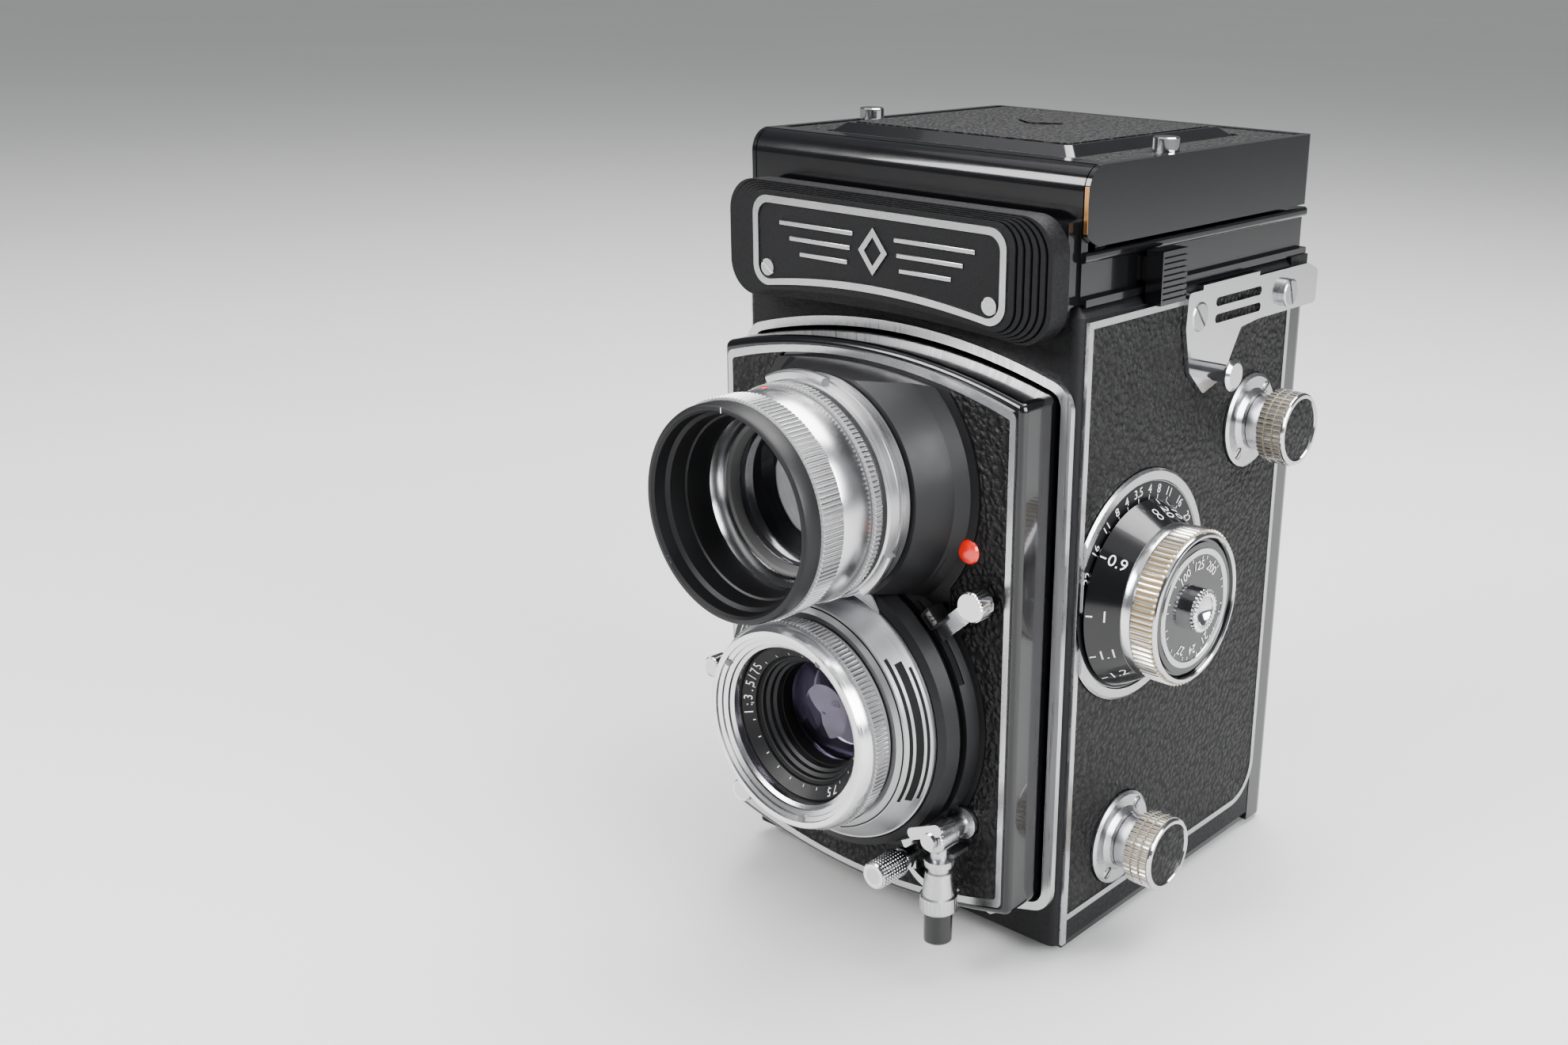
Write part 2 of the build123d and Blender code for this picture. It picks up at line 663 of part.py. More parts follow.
def door_leather():
    """Leatherette on the back door."""
    face = Pos(0, 57.5) * RectangleRounded(66.0, 103.0, 4.0)
    return upright(face, DOOR_REAR, DOOR_REAR + 0.6)


def feet():
    """Four low feet on the floor flap."""
    shapes = []
    for x in (-29.0, 29.0):
        for y in (-21.0, 34.0):
            shapes.append(turned_z(x, y, [(0, 0), (2.2, 0), (2.9, 0.6), (2.9, 1.2), (0, 1.2)]))
    return Compound(children=shapes)


def latch_bail():
    """Wire bail that unhooks the back; it lies flat on the floor flap, round the tripod boss."""
    wire = 0.45
    z = 0.65
    half = 17.0
    bar = turned_x(LATCH_PIVOT_Y, z, ring(0, wire, -half, half))
    for side in (-1, 1):
        bar += turned_y(side * (half - wire), z, ring(0, wire, LATCH_PIVOT_Y, 13.0))
    return bar + turned_x(13.0, z, ring(0, wire, -half, half))


def hinge_pins():
    """Pins of the back door and of the hood lid."""
    y, z = DOOR_HINGE
    high = BODY_KNUCKLE_X[1]
    door_pin = turned_x(y, z, ring(0, HINGE_PIN_R, -high, high))
    y, z = LID_HINGE
    lid_pin = turned_x(y, z, ring(0, HINGE_PIN_R, -35.2, 35.2))
    return Compound(children=[door_pin, lid_pin])


# ---------------------------------------------------------------- finder and hood


def finder_base():
    """Finder frame on the body roof, with stepped sides and the curved cap in front of the lid."""
    low = BODY_TOP
    ledge = block((-36.9, 36.9), (-30.6, BASE_REAR), (low, low + 1.2))
    wall = block((-35.7, 35.7), (-30.6, BASE_REAR - 0.4), (low + 1.2, 126.4))
    bead = block((-BASE_HALF_WIDTH, BASE_HALF_WIDTH), (-30.6, BASE_REAR), (126.4, BASE_TOP))
    bead = fillet(bead.edges().filter_by(Axis.Y), 0.6)
    frame = ledge + wall + bead
    frame -= block((-32.5, 32.5), (-28.4, 39.0), (GLASS_Z + 1.8, BASE_TOP + 1))
    frame -= block((-29.5, 29.5), (-27.5, 25.5), (low - 1, GLASS_Z + 2))
    frame += hood_front_cap() + nameplate_bracket()
    return frame


def hood_front_cap():
    """Fixed front of the hood: an upright sheet with a large rolled upper edge, and two lid bearings."""
    y, z = LID_HINGE
    half = 35.9
    cap = block((-half, half), (CAP_FRONT, y - 1.2), (BASE_TOP - 1, LID_TOP))
    cap -= block((-half - 1, half + 1), (y - LID_SWEEP, y), (BASE_TOP, z))
    cap = fillet(cap.edges().filter_by(Axis.X).group_by(Axis.Z)[-1].sort_by(Axis.Y)[0], 4.0)
    cap -= turned_x(y, z, ring(0, LID_SWEEP, -half - 1, half + 1))
    cap -= block((-half - 1, half + 1), (y - LID_LEAD - 0.15, y), (z, LID_TOP + 1))
    low, high = 33.4, 35.2
    ear = block((low, high), (y - 1.5, y + 1.5), (BASE_TOP - 0.5, z))
    ear += turned_x(y, z, ring(0, 1.6, low, high))
    ear -= turned_x(y, z, ring(0, HINGE_PIN_R + SHAFT_CLEARANCE, low - 1, high + 1))
    return cap + ear + mirror(ear, Plane.YZ)


def nameplate_bracket():
    """Block behind the nameplate that closes the finder to the body front."""
    front = block((-35.2, 35.2), (-33.8, BODY_FRONT - 0.05), (BODY_TOP - 3.0, 133.0))
    return front + block((-35.2, 35.2), (BODY_FRONT - 0.1, -30.5), (BODY_TOP, 133.0))


def nameplate_outline(grow):
    """Plate outline: straight top, arched lower edge, large corners; it grows mostly sideways."""
    half = 29.4 + grow
    low = 114.8 - 0.3 * grow
    high = 132.9 + 0.2 * grow
    outline = [
        Line((-half, low), (-half, high)),
        Line((-half, high), (half, high)),
        Line((half, high), (half, low)),
        ThreePointArc((half, low), (0, low + 2.0), (-half, low)),
    ]
    face = make_face(Curve() + outline)
    return fillet(face.vertices(), min(4.0 + grow * 0.4, 6.0))


def nameplate():
    """Thick plate in front of the finder: a flat face, then shallow grooved steps at its edges."""
    plate = upright(nameplate_outline(0), NAMEPLATE_FACE, -33.8)
    for step in range(1, NAMEPLATE_STEPS + 1):
        front = NAMEPLATE_FACE + step * 0.32
        inner = nameplate_outline((step - 1) * 1.25)
        groove = nameplate_outline((step - 1) * 1.25 + 0.3) - inner
        plate += upright(nameplate_outline(step * 1.25) - inner, front, -33.8)
        plate -= upright(groove, front - 0.1, front + 0.5)
    return plate


def ground_glass():
    """Focusing screen."""
    return block((-29.0, 29.0), (-27.2, 25.2), (GLASS_Z - 1.2, GLASS_Z))


def hood_lid():
    """Lid of the folding hood: top plate with a recess, two side skirts and a rear skirt."""
    y, z = LID_HINGE
    front = y - LID_LEAD
    half = LID_HALF_WIDTH
    inner = half - 0.9
    top = block((-half, half), (front, LID_REAR), (LID_TOP - 1.6, LID_TOP))
    rear_skirt = block((-half, half), (LID_REAR - 0.9, LID_REAR), (LID_SKIRT, LID_TOP - 1.0))
    skirt = block((inner, half), (CAP_FRONT, LID_REAR), (LID_SKIRT, LID_TOP))
    skirt = fillet(skirt.edges().filter_by(Axis.X).group_by(Axis.Z)[-1].sort_by(Axis.Y)[0], 4.0)
    swing = turned_x(y, z, ring(0, SKIRT_REACH, 0, 40))
    skirt -= block((0, 40), (CAP_FRONT - 2, y), (LID_SKIRT - 1, z)) - swing
    shell = top + rear_skirt + skirt + mirror(skirt, Plane.YZ)
    shell = fillet(shell.edges().filter_by(Axis.Z).group_by(Axis.Y)[-1], 1.5)
    ear_room = block((-inner + 0.05, inner - 0.05), (front - 1, y + 2.2), (LID_SKIRT, z + 1.9))
    recess = block((-half + 1.6, half - 1.6), (y + 0.2, LID_REAR - 1.6), (LID_TOP - 0.5, LID_TOP + 1))
    window = block(*DOOR_WINDOW, (LID_TOP - 3, LID_TOP + 1))
    barrel = turned_x(y, z, ring(0, 1.6, -30.0, 30.0)) + block((-30, 30), (y, y + 1.6), (z, LID_TOP - 1.2))
    shell = shell - ear_room - recess - window + barrel
    return shell - turned_x(y, z, ring(0, HINGE_PIN_R + SHAFT_CLEARANCE, -35.6, 35.6))


def finder_door():
    """Raised middle door of the lid, used as a direct-view window."""
    low = LID_TOP - 0.4
    bottom = Plane.XY.offset(low) * Pos(0, 4.0) * RectangleRounded(54.0, 52.0, 1.2)
    top = Plane.XY.offset(low + 1.7) * Pos(0, 4.0) * RectangleRounded(49.6, 47.6, 1.2)
    y, z = FINDER_DOOR_HINGE
    barrel = turned_x(y, z, ring(0, 0.6, -20.0, 20.0)) + block((-20.0, 20.0), (y - 2.0, y), (z - 0.5, z + 0.3))
    return loft([bottom, top]) + barrel


def lid_pins():
    """Two chrome pins on the lid."""
    outline = [(0, LID_TOP - 0.5), (2.3, LID_TOP - 0.5), (2.3, 143.9), (2.1, 144.1), (0, 144.1)]
    x, y = LID_PIN_PLACE
    return Compound(children=[turned_z(side * x, y, outline) for side in (-1, 1)])


def side_leaf(side):
    """Side wall of the hood, folded flat inwards, mitred so that the walls clear each other."""
    x = LEAF_HINGE_X
    reach = LEAF_WIDTH
    front = LID_HINGE[0] + 2.5
    rear = REAR_LEAF_Y - 1.6
    face = make_face(Polyline(
        (x, front),
        (x - 11.0, front),
        (x - reach, front + reach - 11.0),
        (x - reach, rear - reach),
        (x, rear),
        close=True,
    ))
    leaf = extrude(Plane.XY.offset(LEAF_Z) * face, 0.5)
    barrel = Plane.XZ.offset(-rear) * Pos(x, LEAF_Z) * Circle(0.8)
    leaf += extrude(barrel, rear - front)
    return leaf if side > 0 else mirror(leaf, Plane.YZ)


def rear_leaf():
    """Rear wall of the hood, folded flat forwards between the side walls."""
    y = REAR_LEAF_Y
    half = 30.2
    reach = LEAF_WIDTH
    face = make_face(Polyline((-half, y), (half, y), (half - reach, y - reach),
                              (-half + reach, y - reach), close=True))
    leaf = extrude(Plane.XY.offset(LEAF_Z) * face, 0.5)
    return leaf + turned_x(y, LEAF_Z, ring(0, 0.8, -half, half))


def magnifier_frame():
    """Frame of the focusing magnifier, folded flat under the lid."""
    y, z = MAGNIFIER_HINGE
    half = 12.6
    plate = block((-half, half), (0.0, y), (z - 0.6, z + 0.6))
    rim = turned_z(0, 13.0, ring(0, 12.4, z - 2.0, z + 0.6))
    hole = turned_z(0, 13.0, ring(0, 10.9, z - 4, z + 3))
    barrel = turned_x(y, z, ring(0, 1.0, -half, half))
    return plate + rim - hole + barrel


def magnifier_lens():
    """Plano-convex magnifier lens."""
    z = MAGNIFIER_HINGE[1]
    bulge = [(0, z - 2.6), (7.0, z - 2.1), (10.85, z - 1.4)]
    return turned_z(0, 13.0, bulge + [(10.85, z - 0.2), (0, z - 0.2)])


def hood_release():
    """Ribbed slider that frees the hood, on the right of the finder frame."""
    x = BODY_HALF_WIDTH + 0.1
    body = block((x, x + 3.2), (-14.4, -6.6), (117.9, 126.9))
    body += block((35.75, x + 0.5), (-13.0, -8.0), (121.5, 125.5))
    ribs = 9
    pitch = 9.0 / ribs
    for rib in range(1, ribs):
        groove = 117.9 + rib * pitch
        body -= block((x + 2.8, x + 4), (-14.0, -5), (groove - 0.17, groove + 0.17))
    return body


# ---------------------------------------------------------------- lens panel
def lens_panel():
    """Front standard: arched box with a rounded front edge and bores for both lenses."""
    outer = upright(panel_outline(0), PANEL_FRONT, PANEL_REAR)
    front_edges = outer.faces().sort_by(Axis.Y)[0].edges()
    outer = fillet(front_edges, 1.2)
    inner = upright(panel_outline(-PANEL_WALL, 0.8), PANEL_FRONT + 1.4, PANEL_REAR + 1)
    panel = outer - inner
    for z, radius in ((VIEWING_Z, 16.0), (TAKING_Z, 18.0)):
        panel -= turned_y(0, z, ring(0, radius, PANEL_FRONT - 1, PANEL_FRONT + 3))
    return panel + focus_rack() + mirror(focus_rack(), Plane.YZ)


def panel_trim():
    """Bright line round the leather of the lens panel."""
    outer = upright(panel_outline(-1.4, 1.4), PANEL_FRONT - 0.4, PANEL_FRONT)
    inner = upright(panel_outline(-2.6, 0.7), PANEL_FRONT - 1, PANEL_FRONT + 1)
    return outer - inner


def shield_face(viewing_radius, taking_radius):
    """Figure-of-eight face round both lenses."""
    upper = Pos(0, VIEWING_Z) * Circle(viewing_radius)
    lower = Pos(0, TAKING_Z) * Circle(taking_radius)
    waist = Pos(0, (VIEWING_Z + TAKING_Z) / 2) * Rectangle(2 * viewing_radius * 0.78, LENS_SPACING * 0.8)
    return upper + lower + waist


def lens_shield():
    """Smooth black mask that flares up to both lenses."""
    limit = upright(panel_outline(-3.2, 0.7), PANEL_FRONT - 12, PANEL_FRONT)
    base = upright(shield_face(VIEWING_SHIELD_R, TAKING_SHIELD_R), PANEL_FRONT - 0.9, PANEL_FRONT)
    flare = turned_y(0, VIEWING_Z, [(0, PANEL_FRONT), (25.0, PANEL_FRONT), (22.6, PANEL_FRONT - 3.0),
                                    (20.2, PANEL_FRONT - 10.0), (0, PANEL_FRONT - 10.0)])
    collar = turned_y(0, TAKING_Z, [(0, PANEL_FRONT), (27.6, PANEL_FRONT), (26.8, PANEL_FRONT - 3.6),
                                    (0, PANEL_FRONT - 3.6)])
    mask = (base + flare + collar) & limit
    mask -= turned_y(0, VIEWING_Z, ring(0, 16.0, PANEL_FRONT - 20, PANEL_FRONT + 1))
    mask -= turned_y(0, TAKING_Z, ring(0, 18.0, PANEL_FRONT - 20, PANEL_FRONT + 1))
    mask -= turned_y(0, TAKING_Z, ring(0, 26.7, PANEL_FRONT - 20, PANEL_FRONT - 3.6))
    mask -= block((-10, 10), (-60, -50), (60, TAKING_Z + 26.2))
    mask -= arc_way(26.8, 42.0, -60, LEVER_ARM_Y + 0.2, 22, 57)
    mask -= arc_way(24.5, 40.0, COCKING_ARM_Y - 1.2, COCKING_ARM_Y + 0.2, -106, -46)
    return mask - turned_y(*CONTACT_PLACE, ring(0, 3.1, PANEL_FRONT - 5, PANEL_FRONT + 1))


def arc_way(inner, outer, front, rear, start, end):
    """Arc-shaped room about the taking lens axis for a lever to move in."""
    room = turned_y(0, 0, ring(inner, outer, front, rear)) & sector(start, end, 60)
    return Pos(0, 0, TAKING_Z) * room


def panel_leather():
    """Leatherette on the lens panel, cut out round the mask."""
    face = panel_outline(-2.65, 0.7)
    sheet = upright(face, PANEL_FRONT - 0.5, PANEL_FRONT)
    mask_face = shield_face(VIEWING_SHIELD_R + 0.1, TAKING_SHIELD_R + 0.1)
    sheet -= upright(mask_face, PANEL_FRONT - 5, PANEL_FRONT + 1)
    return sheet - turned_y(*CONTACT_PLACE, ring(0, 3.2, PANEL_FRONT - 5, PANEL_FRONT + 1))


# ---------------------------------------------------------------- viewing lens and its screw-in attachment
def viewing_bayonet():
    """Satin bayonet mount of the viewing lens, with two outer lugs."""
    outline = [
        (14.6, PANEL_FRONT + 6.0),
        (15.9, PANEL_FRONT + 6.0),
        (15.9, -52.2),
        (19.4, -52.6),
        (19.0, -57.2),
        (17.2, -57.4),
        (17.2, -58.0),
        (14.6, -58.0),
    ]
    mount = turned_y(0, VIEWING_Z, outline)
    lug = turned_y(0, VIEWING_Z, ring(18.5, 20.3, -57.0, -55.2))
    wedges = Pos(0, 0, VIEWING_Z) * (sector(75, 115) + sector(-48, -20))
    return mount + (lug & wedges)


def sector(start, end, radius=30.0):
    """Wedge of a disc about the Y axis through the origin, between two angles from +X towards +Z."""
    points = [(0, 0)]
    for step in range(5):
        angle = math.radians(start + (end - start) * step / 4)
        points.append((radius * math.cos(angle), radius * math.sin(angle)))
    return upright(make_face(Polyline(*points, close=True)), -80, -30)


def viewing_lens():
    """Glass of the viewing lens."""
    return turned_y(0, VIEWING_Z, [(0, -52.2), (7.0, -51.6), (14.5, -50.0), (14.5, -44.0), (0, -45.0)])


def attachment_barrel():
    """Supplementary lens barrel: polished band between a narrow and a wide knurled ring."""
    outline = [
        (15.2, -58.2),
        (18.3, -58.2),
        (18.75, -58.5),
        (18.75, -60.2),
        (18.2, -60.5),
        (18.2, -67.2),
        (18.6, -67.5),
        (18.6, -72.0),
        (18.1, -72.3),
        (16.4, -72.3),
        (16.4, -66.0),
        (15.4, -66.0),
        (15.2, -65.0),
    ]
    return Compound(children=[turned_y(0, VIEWING_Z, outline), attachment_mouth()])


def attachment_mouth():
    """Black front ring with a chamfered rim and a conical mouth."""
    outline = [
        (16.0, -72.35),
        (18.1, -72.35),
        (18.15, -74.7),
        (17.6, -75.6),
        (16.9, -75.6),
        (16.3, -72.6),
    ]
    return turned_y(0, VIEWING_Z, outline)


def attachment_lens():
    """Glass of the supplementary lens with its retaining ring."""
    glass = turned_y(0, VIEWING_Z, [(0, -62.6), (8.0, -62.0), (13.0, -60.6), (13.0, -58.6), (0, -59.4)])
    outline = [(13.05, -58.3), (15.15, -58.3), (15.15, -63.6), (13.9, -63.6), (13.05, -62.0)]
    retainer = turned_y(0, VIEWING_Z, outline)
    return Compound(children=[glass, retainer])


# ---------------------------------------------------------------- taking lens and shutter


def shutter_housing():
    """Black shutter case: stepped drum behind the bright face plate, running back through the panel."""
    outline = [
        (15.4, PANEL_FRONT + 9.0),
        (17.4, PANEL_FRONT + 9.0),
        (17.4, PANEL_FRONT - 3.7),
        (25.6, PANEL_FRONT - 3.7),
        (26.4, PANEL_FRONT - 5.0),
        (25.8, -50.0),
        (24.3, -50.6),
        (24.3, -49.6),
        (17.0, -49.6),
        (17.0, -51.0),
        (15.4, -51.0),
    ]
    case = turned_y(0, TAKING_Z, outline)
    return case - turned_y(0, VIEWING_Z, ring(0, 16.4, -60, -40))


def shutter_plate():
    """Bright shutter face: a ring with a bridge that rises between the two lenses."""
    disc = Pos(0, TAKING_Z) * Circle(24.0)
    bridge = make_face(Polyline((-12.5, TAKING_Z + 19), (12.5, TAKING_Z + 19), (8.6, TAKING_Z + 25.6),
                                (-8.6, TAKING_Z + 25.6), close=True))
    plate = upright(disc + bridge - Pos(0, TAKING_Z) * Circle(17.1), -51.0, -50.62)
    cone = turned_y(0, TAKING_Z, [(17.1, -49.65), (24.0, -49.65), (24.0, -50.6), (20.8, -54.8),
                                  (19.4, -55.6), (17.1, -55.6)])
    return plate + cone


def taking_ring():
    """Bayonet ring of the taking lens: bright stepped funnel in front, knurled behind."""
    outline = [
        (15.2, -55.9),
        (18.4, -55.9),
        (18.4, -56.9),
        (19.1, -57.2),
        (19.1, -60.2),
        (18.6, -60.5),
        (18.0, -62.3),
        (17.6, -62.7),
        (16.8, -62.7),
        (16.4, -61.9),
        (15.4, -61.5),
        (15.0, -60.6),
        (14.2, -60.2),
        (14.2, -58.8),
        (15.2, -58.8),
    ]
    return turned_y(0, TAKING_Z, outline)


def taking_cell():
    """Black lens cell with its name ring and baffles."""
    outline = [
        (9.6, PANEL_FRONT + 7.0),
        (15.0, PANEL_FRONT + 7.0),
        (15.0, -58.7),
        (14.1, -58.7),
        (11.4, -56.8),
        (10.4, -54.0),
        (9.6, -53.0),
    ]
    return turned_y(0, TAKING_Z, outline)


def taking_lens():
    """Front and rear glass of the taking lens."""
    front = turned_y(0, TAKING_Z, [(0, -52.6), (5.0, -52.2), (9.5, -50.8), (9.5, -48.2), (0, -47.2)])
    rear = turned_y(0, TAKING_Z, [(0, -39.2), (5.0, -39.6), (9.5, -40.8), (9.5, -38.2), (0, -36.4)])
    return Compound(children=[front, rear])


def blade_set(y, count, inner, thickness):
    """Overlapping leaves on a circle, each a thin sector in its own plane."""
    blades = []
    for index in range(count):
        start = index * 360 / count
        front = y + index * (thickness + 0.03)
        leaf = turned_y(0, 0, ring(inner, 9.45, front, front + thickness))
        wedge = sector(start, start + 360 / count + 12)
        blades.append(Pos(0, 0, TAKING_Z) * (leaf & wedge))
    return Compound(children=blades)


def shutter_blades():
    """Five shutter leaves between the two lens groups, and five iris leaves behind them."""
    shutter = blade_set(-46.2, 5, 0.9, 0.1)
    iris = blade_set(-44.8, 5, 4.0, 0.1)
    return Compound(children=list(shutter.solids()) + list(iris.solids()))


# ---------------------------------------------------------------- controls on the lens panel


def setting_lever(place, knob_y, knob_r, inner_r):
    """Setting lever: a thin arm from the shutter's rim to a small knob that stands forward."""
    x, z = place
    dx, dz = x, z - TAKING_Z
    distance = math.hypot(dx, dz)
    angle = math.degrees(math.atan2(dz, dx))
    arm_front = LEVER_ARM_Y - 0.8
    bar = Pos((distance + inner_r) / 2, 0) * Rectangle(distance - inner_r + 2.0, 3.2)
    arm = upright(bar, arm_front, arm_front + 0.8)
    arm = Pos(0, 0, TAKING_Z) * Rot(0, -angle, 0) * arm
    knob = turned_y(x, z, [(0, arm_front), (1.5, arm_front), (1.5, knob_y + 3.4), (knob_r, knob_y + 3.2),
                           (knob_r, knob_y + 0.3), (knob_r - 0.4, knob_y), (0, knob_y)])
    return arm + knob


def speed_lever():
    """Exposure-setting lever on the right of the shutter."""
    return setting_lever(SPEED_KNOB, -47.6, 2.7, 28.0)


def aperture_lever():
    """Aperture-setting lever on the left of the shutter."""
    return setting_lever(APERTURE_KNOB, -51.5, 2.0, 28.0)


def timer_lever():
    """Self-timer lever on the lower left of the shutter."""
    return setting_lever(TIMER_KNOB, -51.5, 2.2, 28.0)


def cocking_lever():
    """Cocking and release lever below the shutter, with a knurled knob and a curved finger rest."""
    x, z = COCKING_KNOB
    distance = math.hypot(x, z - TAKING_Z)
    angle = math.degrees(math.atan2(z - TAKING_Z, x))
    bar = Pos((distance + 25.4) / 2, 0) * Rectangle(distance - 25.4, 3.0)
    arm = upright(bar, COCKING_ARM_Y - 1.0, COCKING_ARM_Y)
    arm = Pos(0, 0, TAKING_Z) * Rot(0, -angle, 0) * arm
    neck = [(0, COCKING_ARM_Y), (1.6, COCKING_ARM_Y), (1.6, -47.0), (2.1, -47.2), (2.1, -48.0)]
    grip = [(1.7, -48.2), (1.7, -49.0), (2.5, -49.4), (2.5, -55.6), (2.2, -55.9), (0, -55.9)]
    knob = turned_y(x, z, neck + grip)
    outer = ThreePointArc((x - 0.5, z - 2.4), (x + 5.6, z - 5.4), (x + 11.0, z - 3.2))
    inner = ThreePointArc((x + 11.0, z - 1.8), (x + 5.6, z - 3.9), (x - 0.5, z - 1.0))
    rest = make_face(Curve() + [outer, Line(outer @ 1, inner @ 0), inner, Line(inner @ 1, outer @ 0)])
    finger = upright(rest, -46.0, -43.4)
    bridge = block((x - 0.5, x + 1.5), (-46.0, COCKING_ARM_Y - 0.5), (z - 2.2, z))
    return arm + knob + finger + bridge


def release_socket():
    """Sync contact and cable-release socket: panel collar, sleeve pointing down, knurled ring."""
    y = RELEASE_Y
    contact = turned_y(*CONTACT_PLACE, [(0, PANEL_FRONT), (3.0, PANEL_FRONT), (3.0, -43.6), (1.9, -44.0),
                                        (1.9, -47.0), (2.7, -47.4), (2.7, -51.6), (2.3, -52.0), (0, -52.0)])
    stem = turned_z(RELEASE_X, y, [(0, RELEASE_Z + 8.0), (1.6, RELEASE_Z + 8.0), (1.6, RELEASE_Z + 5.6),
                                   (2.6, RELEASE_Z + 5.4), (2.6, RELEASE_Z + 4.2), (2.0, RELEASE_Z + 4.0),
                                   (2.0, RELEASE_Z + 3.2), (2.4, RELEASE_Z + 3.0), (2.9, RELEASE_Z - 1.4),
                                   (3.3, RELEASE_Z - 1.6), (3.3, RELEASE_Z - 4.4), (3.0, RELEASE_Z - 4.7),
                                   (0, RELEASE_Z - 4.7)])
    width = (RELEASE_X - 1.0, RELEASE_X + 1.0)
    foot = block(width, (y, PANEL_FRONT - 0.6), (RELEASE_Z + 4.4, RELEASE_Z + 5.2))
    guard = turned_z(RELEASE_X, y, ring(1.2, 2.5, RELEASE_Z - 10.6, RELEASE_Z - 4.75))
    return Compound(children=list((contact + stem + foot).solids()) + [guard])


def sync_lock():
    """Small bright locking tab on the front of the sync contact."""
    x, z = CONTACT_PLACE
    tab = upright(Pos(x - 1.0, z + 1.4) * Rot(0, 0, 24) * SlotOverall(8.0, 2.2), -52.6, -52.1)
    hub = turned_y(x, z, ring(0, 1.5, -53.0, -52.1))
    return tab + hub


# ---------------------------------------------------------------- write every sub-part
PARTS = {
    "body_casting": body_casting,
    "light_box": light_box,
    "mirror": mirror_glass,
    "ground_glass": ground_glass,
    "front_arc_frame": front_arc_frame,
    "side_trims": side_trims,
    "side_leathers": side_leathers,
    "spool_flanges": spool_flanges,
    "focus_scale": focus_scale,
    "strap_lugs": strap_lugs,
    "slotted_screws": slotted_screws,
    "left_bosses": left_bosses,
    "counter_disc": counter_disc,
    "tripod_socket": tripod_socket,
    "hinge_pins": hinge_pins,
    "finder_base": finder_base,
    "nameplate": nameplate,
    "hood_release": hood_release,
    "film_roller_lower": lambda: film_roller(LOWER_ROLLER_Z),
    "film_roller_upper": lambda: film_roller(UPPER_ROLLER_Z),
    "supply_spool": lambda: spool(SUPPLY_AXIS),
    "takeup_spool": lambda: spool(TAKEUP_AXIS),
    "winding_knob": winding_knob,
    "upper_spool_knob": lambda: spool_knob(TAKEUP_AXIS),
    "lower_spool_knob": lambda: spool_knob(SUPPLY_AXIS),
    "focus_knob": focus_knob,
    "film_speed_dial": film_speed_dial,
    "back_door": back_door,
    "door_leather": door_leather,
    "pressure_plate": pressure_plate,
    "latch_bail": latch_bail,
    "feet": feet,
    "hood_lid": hood_lid,
    "finder_door": finder_door,
    "lid_pins": lid_pins,
    "side_leaf_right": lambda: side_leaf(1),
    "side_leaf_left": lambda: side_leaf(-1),
    "rear_leaf": rear_leaf,
    "magnifier_frame": magnifier_frame,
    "magnifier_lens": magnifier_lens,
    "lens_panel": lens_panel,
    "panel_trim": panel_trim,
    "panel_leather": panel_leather,
    "lens_shield": lens_shield,
    "viewing_bayonet": viewing_bayonet,
    "viewing_lens": viewing_lens,
    "attachment_barrel": attachment_barrel,
    "attachment_lens": attachment_lens,
    "shutter_housing": shutter_housing,
    "shutter_plate": shutter_plate,
    "taking_ring": taking_ring,
    "taking_cell": taking_cell,
    "taking_lens": taking_lens,
    "shutter_blades": shutter_blades,
    "speed_lever": speed_lever,
    "aperture_lever": aperture_lever,
    "timer_lever": timer_lever,
    "cocking_lever": cocking_lever,
    "release_socket": release_socket,
    "sync_lock": sync_lock,
}

for name, build in PARTS.items():
    save(build(), name)
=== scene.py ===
import math

import bmesh
import bpy
from mathutils import Matrix, Vector


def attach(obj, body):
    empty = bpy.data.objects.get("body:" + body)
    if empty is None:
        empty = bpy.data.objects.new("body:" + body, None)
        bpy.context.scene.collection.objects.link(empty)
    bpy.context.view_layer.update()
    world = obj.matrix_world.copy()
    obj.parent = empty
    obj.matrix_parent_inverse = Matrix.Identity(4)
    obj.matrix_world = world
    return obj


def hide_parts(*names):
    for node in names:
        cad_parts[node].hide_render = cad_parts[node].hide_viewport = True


# Looks of a twin lens reflex camera, built round its CAD frame.
# Lengths below are millimetres in the CAD frame: +X focusing knob, +Y film side, +Z up.
MM = 0.001

TAKING = (0.0, 45.3)                 # (x, z) of the lens axes
VIEWING = (0.0, 87.3)
FOCUS = (-13.6, 66.8)                # (y, z) of axes along X
SCALE = (-12.6, 67.8)
TAKEUP = (22.9, 90.8)
SUPPLY = (-14.0, 18.5)
COUNTER = (4.0, 67.0)
RED_DOT = (24.0, 78.5)               # (x, z) of axes along Y
SPEED_KNOB = (28.0, 70.8)
RELEASE = (24.3, -49.6)              # (x, y) of the cable release tube
SIDE = 37.4                          # half width of the bare body
NAMEPLATE_FACE = -39.9               # its front, along Y
WHEEL_BACK = 38.8                    # focusing knob, along X
WHEEL_FACE = 51.1
NECK = 40.5                          # spool knobs, along X
KNOB_FACE = 49.0
SPINDLE = 2.4                        # radius of the knobs' spindles
SPINDLE_END = 33.2                   # their inner end, along X

DRUM_RADIUS = 16.9                   # distance drum at its widest
DRUM_START = 0.4                     # from the knob's back to the widest place
DRUM_LENGTH = 5.2
DRUM_DROP = 3.3                      # how much it narrows over its length
DRUM_NUMERALS = 3.3                  # from the knob's back to the middle of the numerals
DRUM_LIFT = 0.04                     # print above the drum
FOCUS_SWEEP = 308                    # degrees from infinity to the nearest distance
NEAREST = 0.9                        # metres from the film
TWICE_FOCAL = 0.15                   # metres

FINE_TEETH = 140                     # grooves round each lens ring
CLEAN_KNURL_SHADED_GROOVES = ((0.62, 0.62, 0.63), (0.2, 0.2, 0.2), 0.2)   # colour, groove colour (painted shade in the grooves of a clean knurl), width
